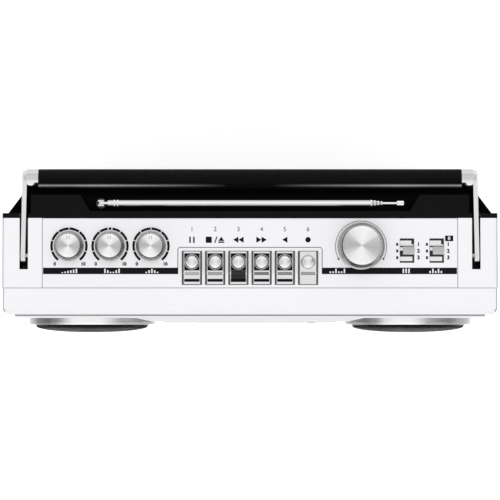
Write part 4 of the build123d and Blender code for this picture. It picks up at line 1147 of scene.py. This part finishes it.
panel_printing()
key_well_frames()
slider_plates()
seams()
knob_pointers()
cover_sides()
grille(-1, "grille_left")
grille(1, "grille_right")
antenna_collars()
window_trim("dial_window_trim", "dial_window", 1.8, 0.8)
window_trim("cassette_window_trim", "cassette_window", 1.6, 0.7, "deck_door")
dial_numerals()


# Floor, light and camera, in metres

STUDIO_TONES = ((0.0, 0.95), (0.25, 0.82), (0.5, 0.55), (0.7, 0.7), (0.93, 0.9), (0.985, 0.88),
                (1.0, 0.86))
SOFTBOX_SHARE = 0.5
ROOM_GREY = (0.67, 0.67, 0.675)
PURE_WHITE = (1.0, 1.0, 1.0)
LIGHT_SIZE = (2.4, 1.2)
LIGHT_POWER = 12.8
LIGHT_HEIGHT = 2.2
LIT_POINT = Vector((0, 0, 0.15))
FLOOR_HALF = 4.0
FLOOR_GLOW = 0.42
CAMERA_ELEVATION = math.radians(88.0)
CAMERA_DISTANCE = 2.0
HALF_VIEW = 221.8 * MM
SENSOR = 36.0


def studio_world():
    """White to the camera; in reflections bright near the horizon and darker overhead, as in a studio."""
    world = bpy.data.worlds.new("studio")
    bpy.context.scene.world = world
    world.use_nodes = True
    graph = Graph(world.node_tree)
    path = graph.add("ShaderNodeLightPath").outputs
    _, y, z = graph.split(graph.add("ShaderNodeTexCoord").outputs["Generated"])
    walls = graph.tones(z, STUDIO_TONES, tint=1.0)
    softboxes = graph.math("MULTIPLY_ADD", graph.math("MULTIPLY", y, y), SOFTBOX_SHARE, walls)
    light = graph.mix(path["Is Glossy Ray"], ROOM_GREY, softboxes)
    seen = graph.math("MAXIMUM", path["Is Camera Ray"], path["Is Transmission Ray"])
    background = world.node_tree.nodes["Background"]
    graph.feed(background.inputs["Color"], graph.mix(seen, light, PURE_WHITE))


def soft_light(name, y):
    """A wide lamp high over the radio, before or behind it."""
    data = bpy.data.lights.new(name, "AREA")
    data.shape = "RECTANGLE"
    data.size, data.size_y = LIGHT_SIZE
    data.energy = LIGHT_POWER
    lamp = bpy.data.objects.new(name, data)
    lamp.location = (0, y, LIGHT_HEIGHT)
    lamp.rotation_euler = (LIT_POINT - lamp.location).to_track_quat("-Z", "Y").to_euler()
    lamp.visible_glossy = False
    bpy.context.scene.collection.objects.link(lamp)


def floor():
    """A plain white floor that glows a little, so that it looks white and keeps the radio's shadow."""
    half = FLOOR_HALF
    mesh = bpy.data.meshes.new("floor")
    mesh.from_pydata([(-half, -half, 0), (half, -half, 0), (half, half, 0), (-half, half, 0)], [],
                     [(0, 1, 2, 3)])
    made = bpy.data.objects.new("floor", mesh)
    bpy.context.scene.collection.objects.link(made)
    paint = Shader("floor_paint", (0.93, 0.93, 0.93), 0.9, Emission_Strength=FLOOR_GLOW,
                   Emission_Color=PURE_WHITE)
    mesh.materials.append(paint.material)


def camera():
    """The photograph's view: almost straight down on the top, from a little in front."""
    target = Vector((0, -0.5 * MM, PANEL_Z))
    data = bpy.data.cameras.new("camera")
    data.sensor_width = SENSOR
    data.lens = SENSOR / 2 * CAMERA_DISTANCE / HALF_VIEW
    made = bpy.data.objects.new("camera", data)
    away = Vector((0, -math.cos(CAMERA_ELEVATION), math.sin(CAMERA_ELEVATION)))
    made.location = target + CAMERA_DISTANCE * away
    made.rotation_euler = (math.pi / 2 - CAMERA_ELEVATION, 0, 0)
    bpy.context.scene.collection.objects.link(made)
    bpy.context.scene.camera = made


studio_world()
soft_light("front_softbox", -1.0)
soft_light("back_softbox", 1.0)
floor()
camera()
bpy.context.scene.view_settings.view_transform = "Standard"
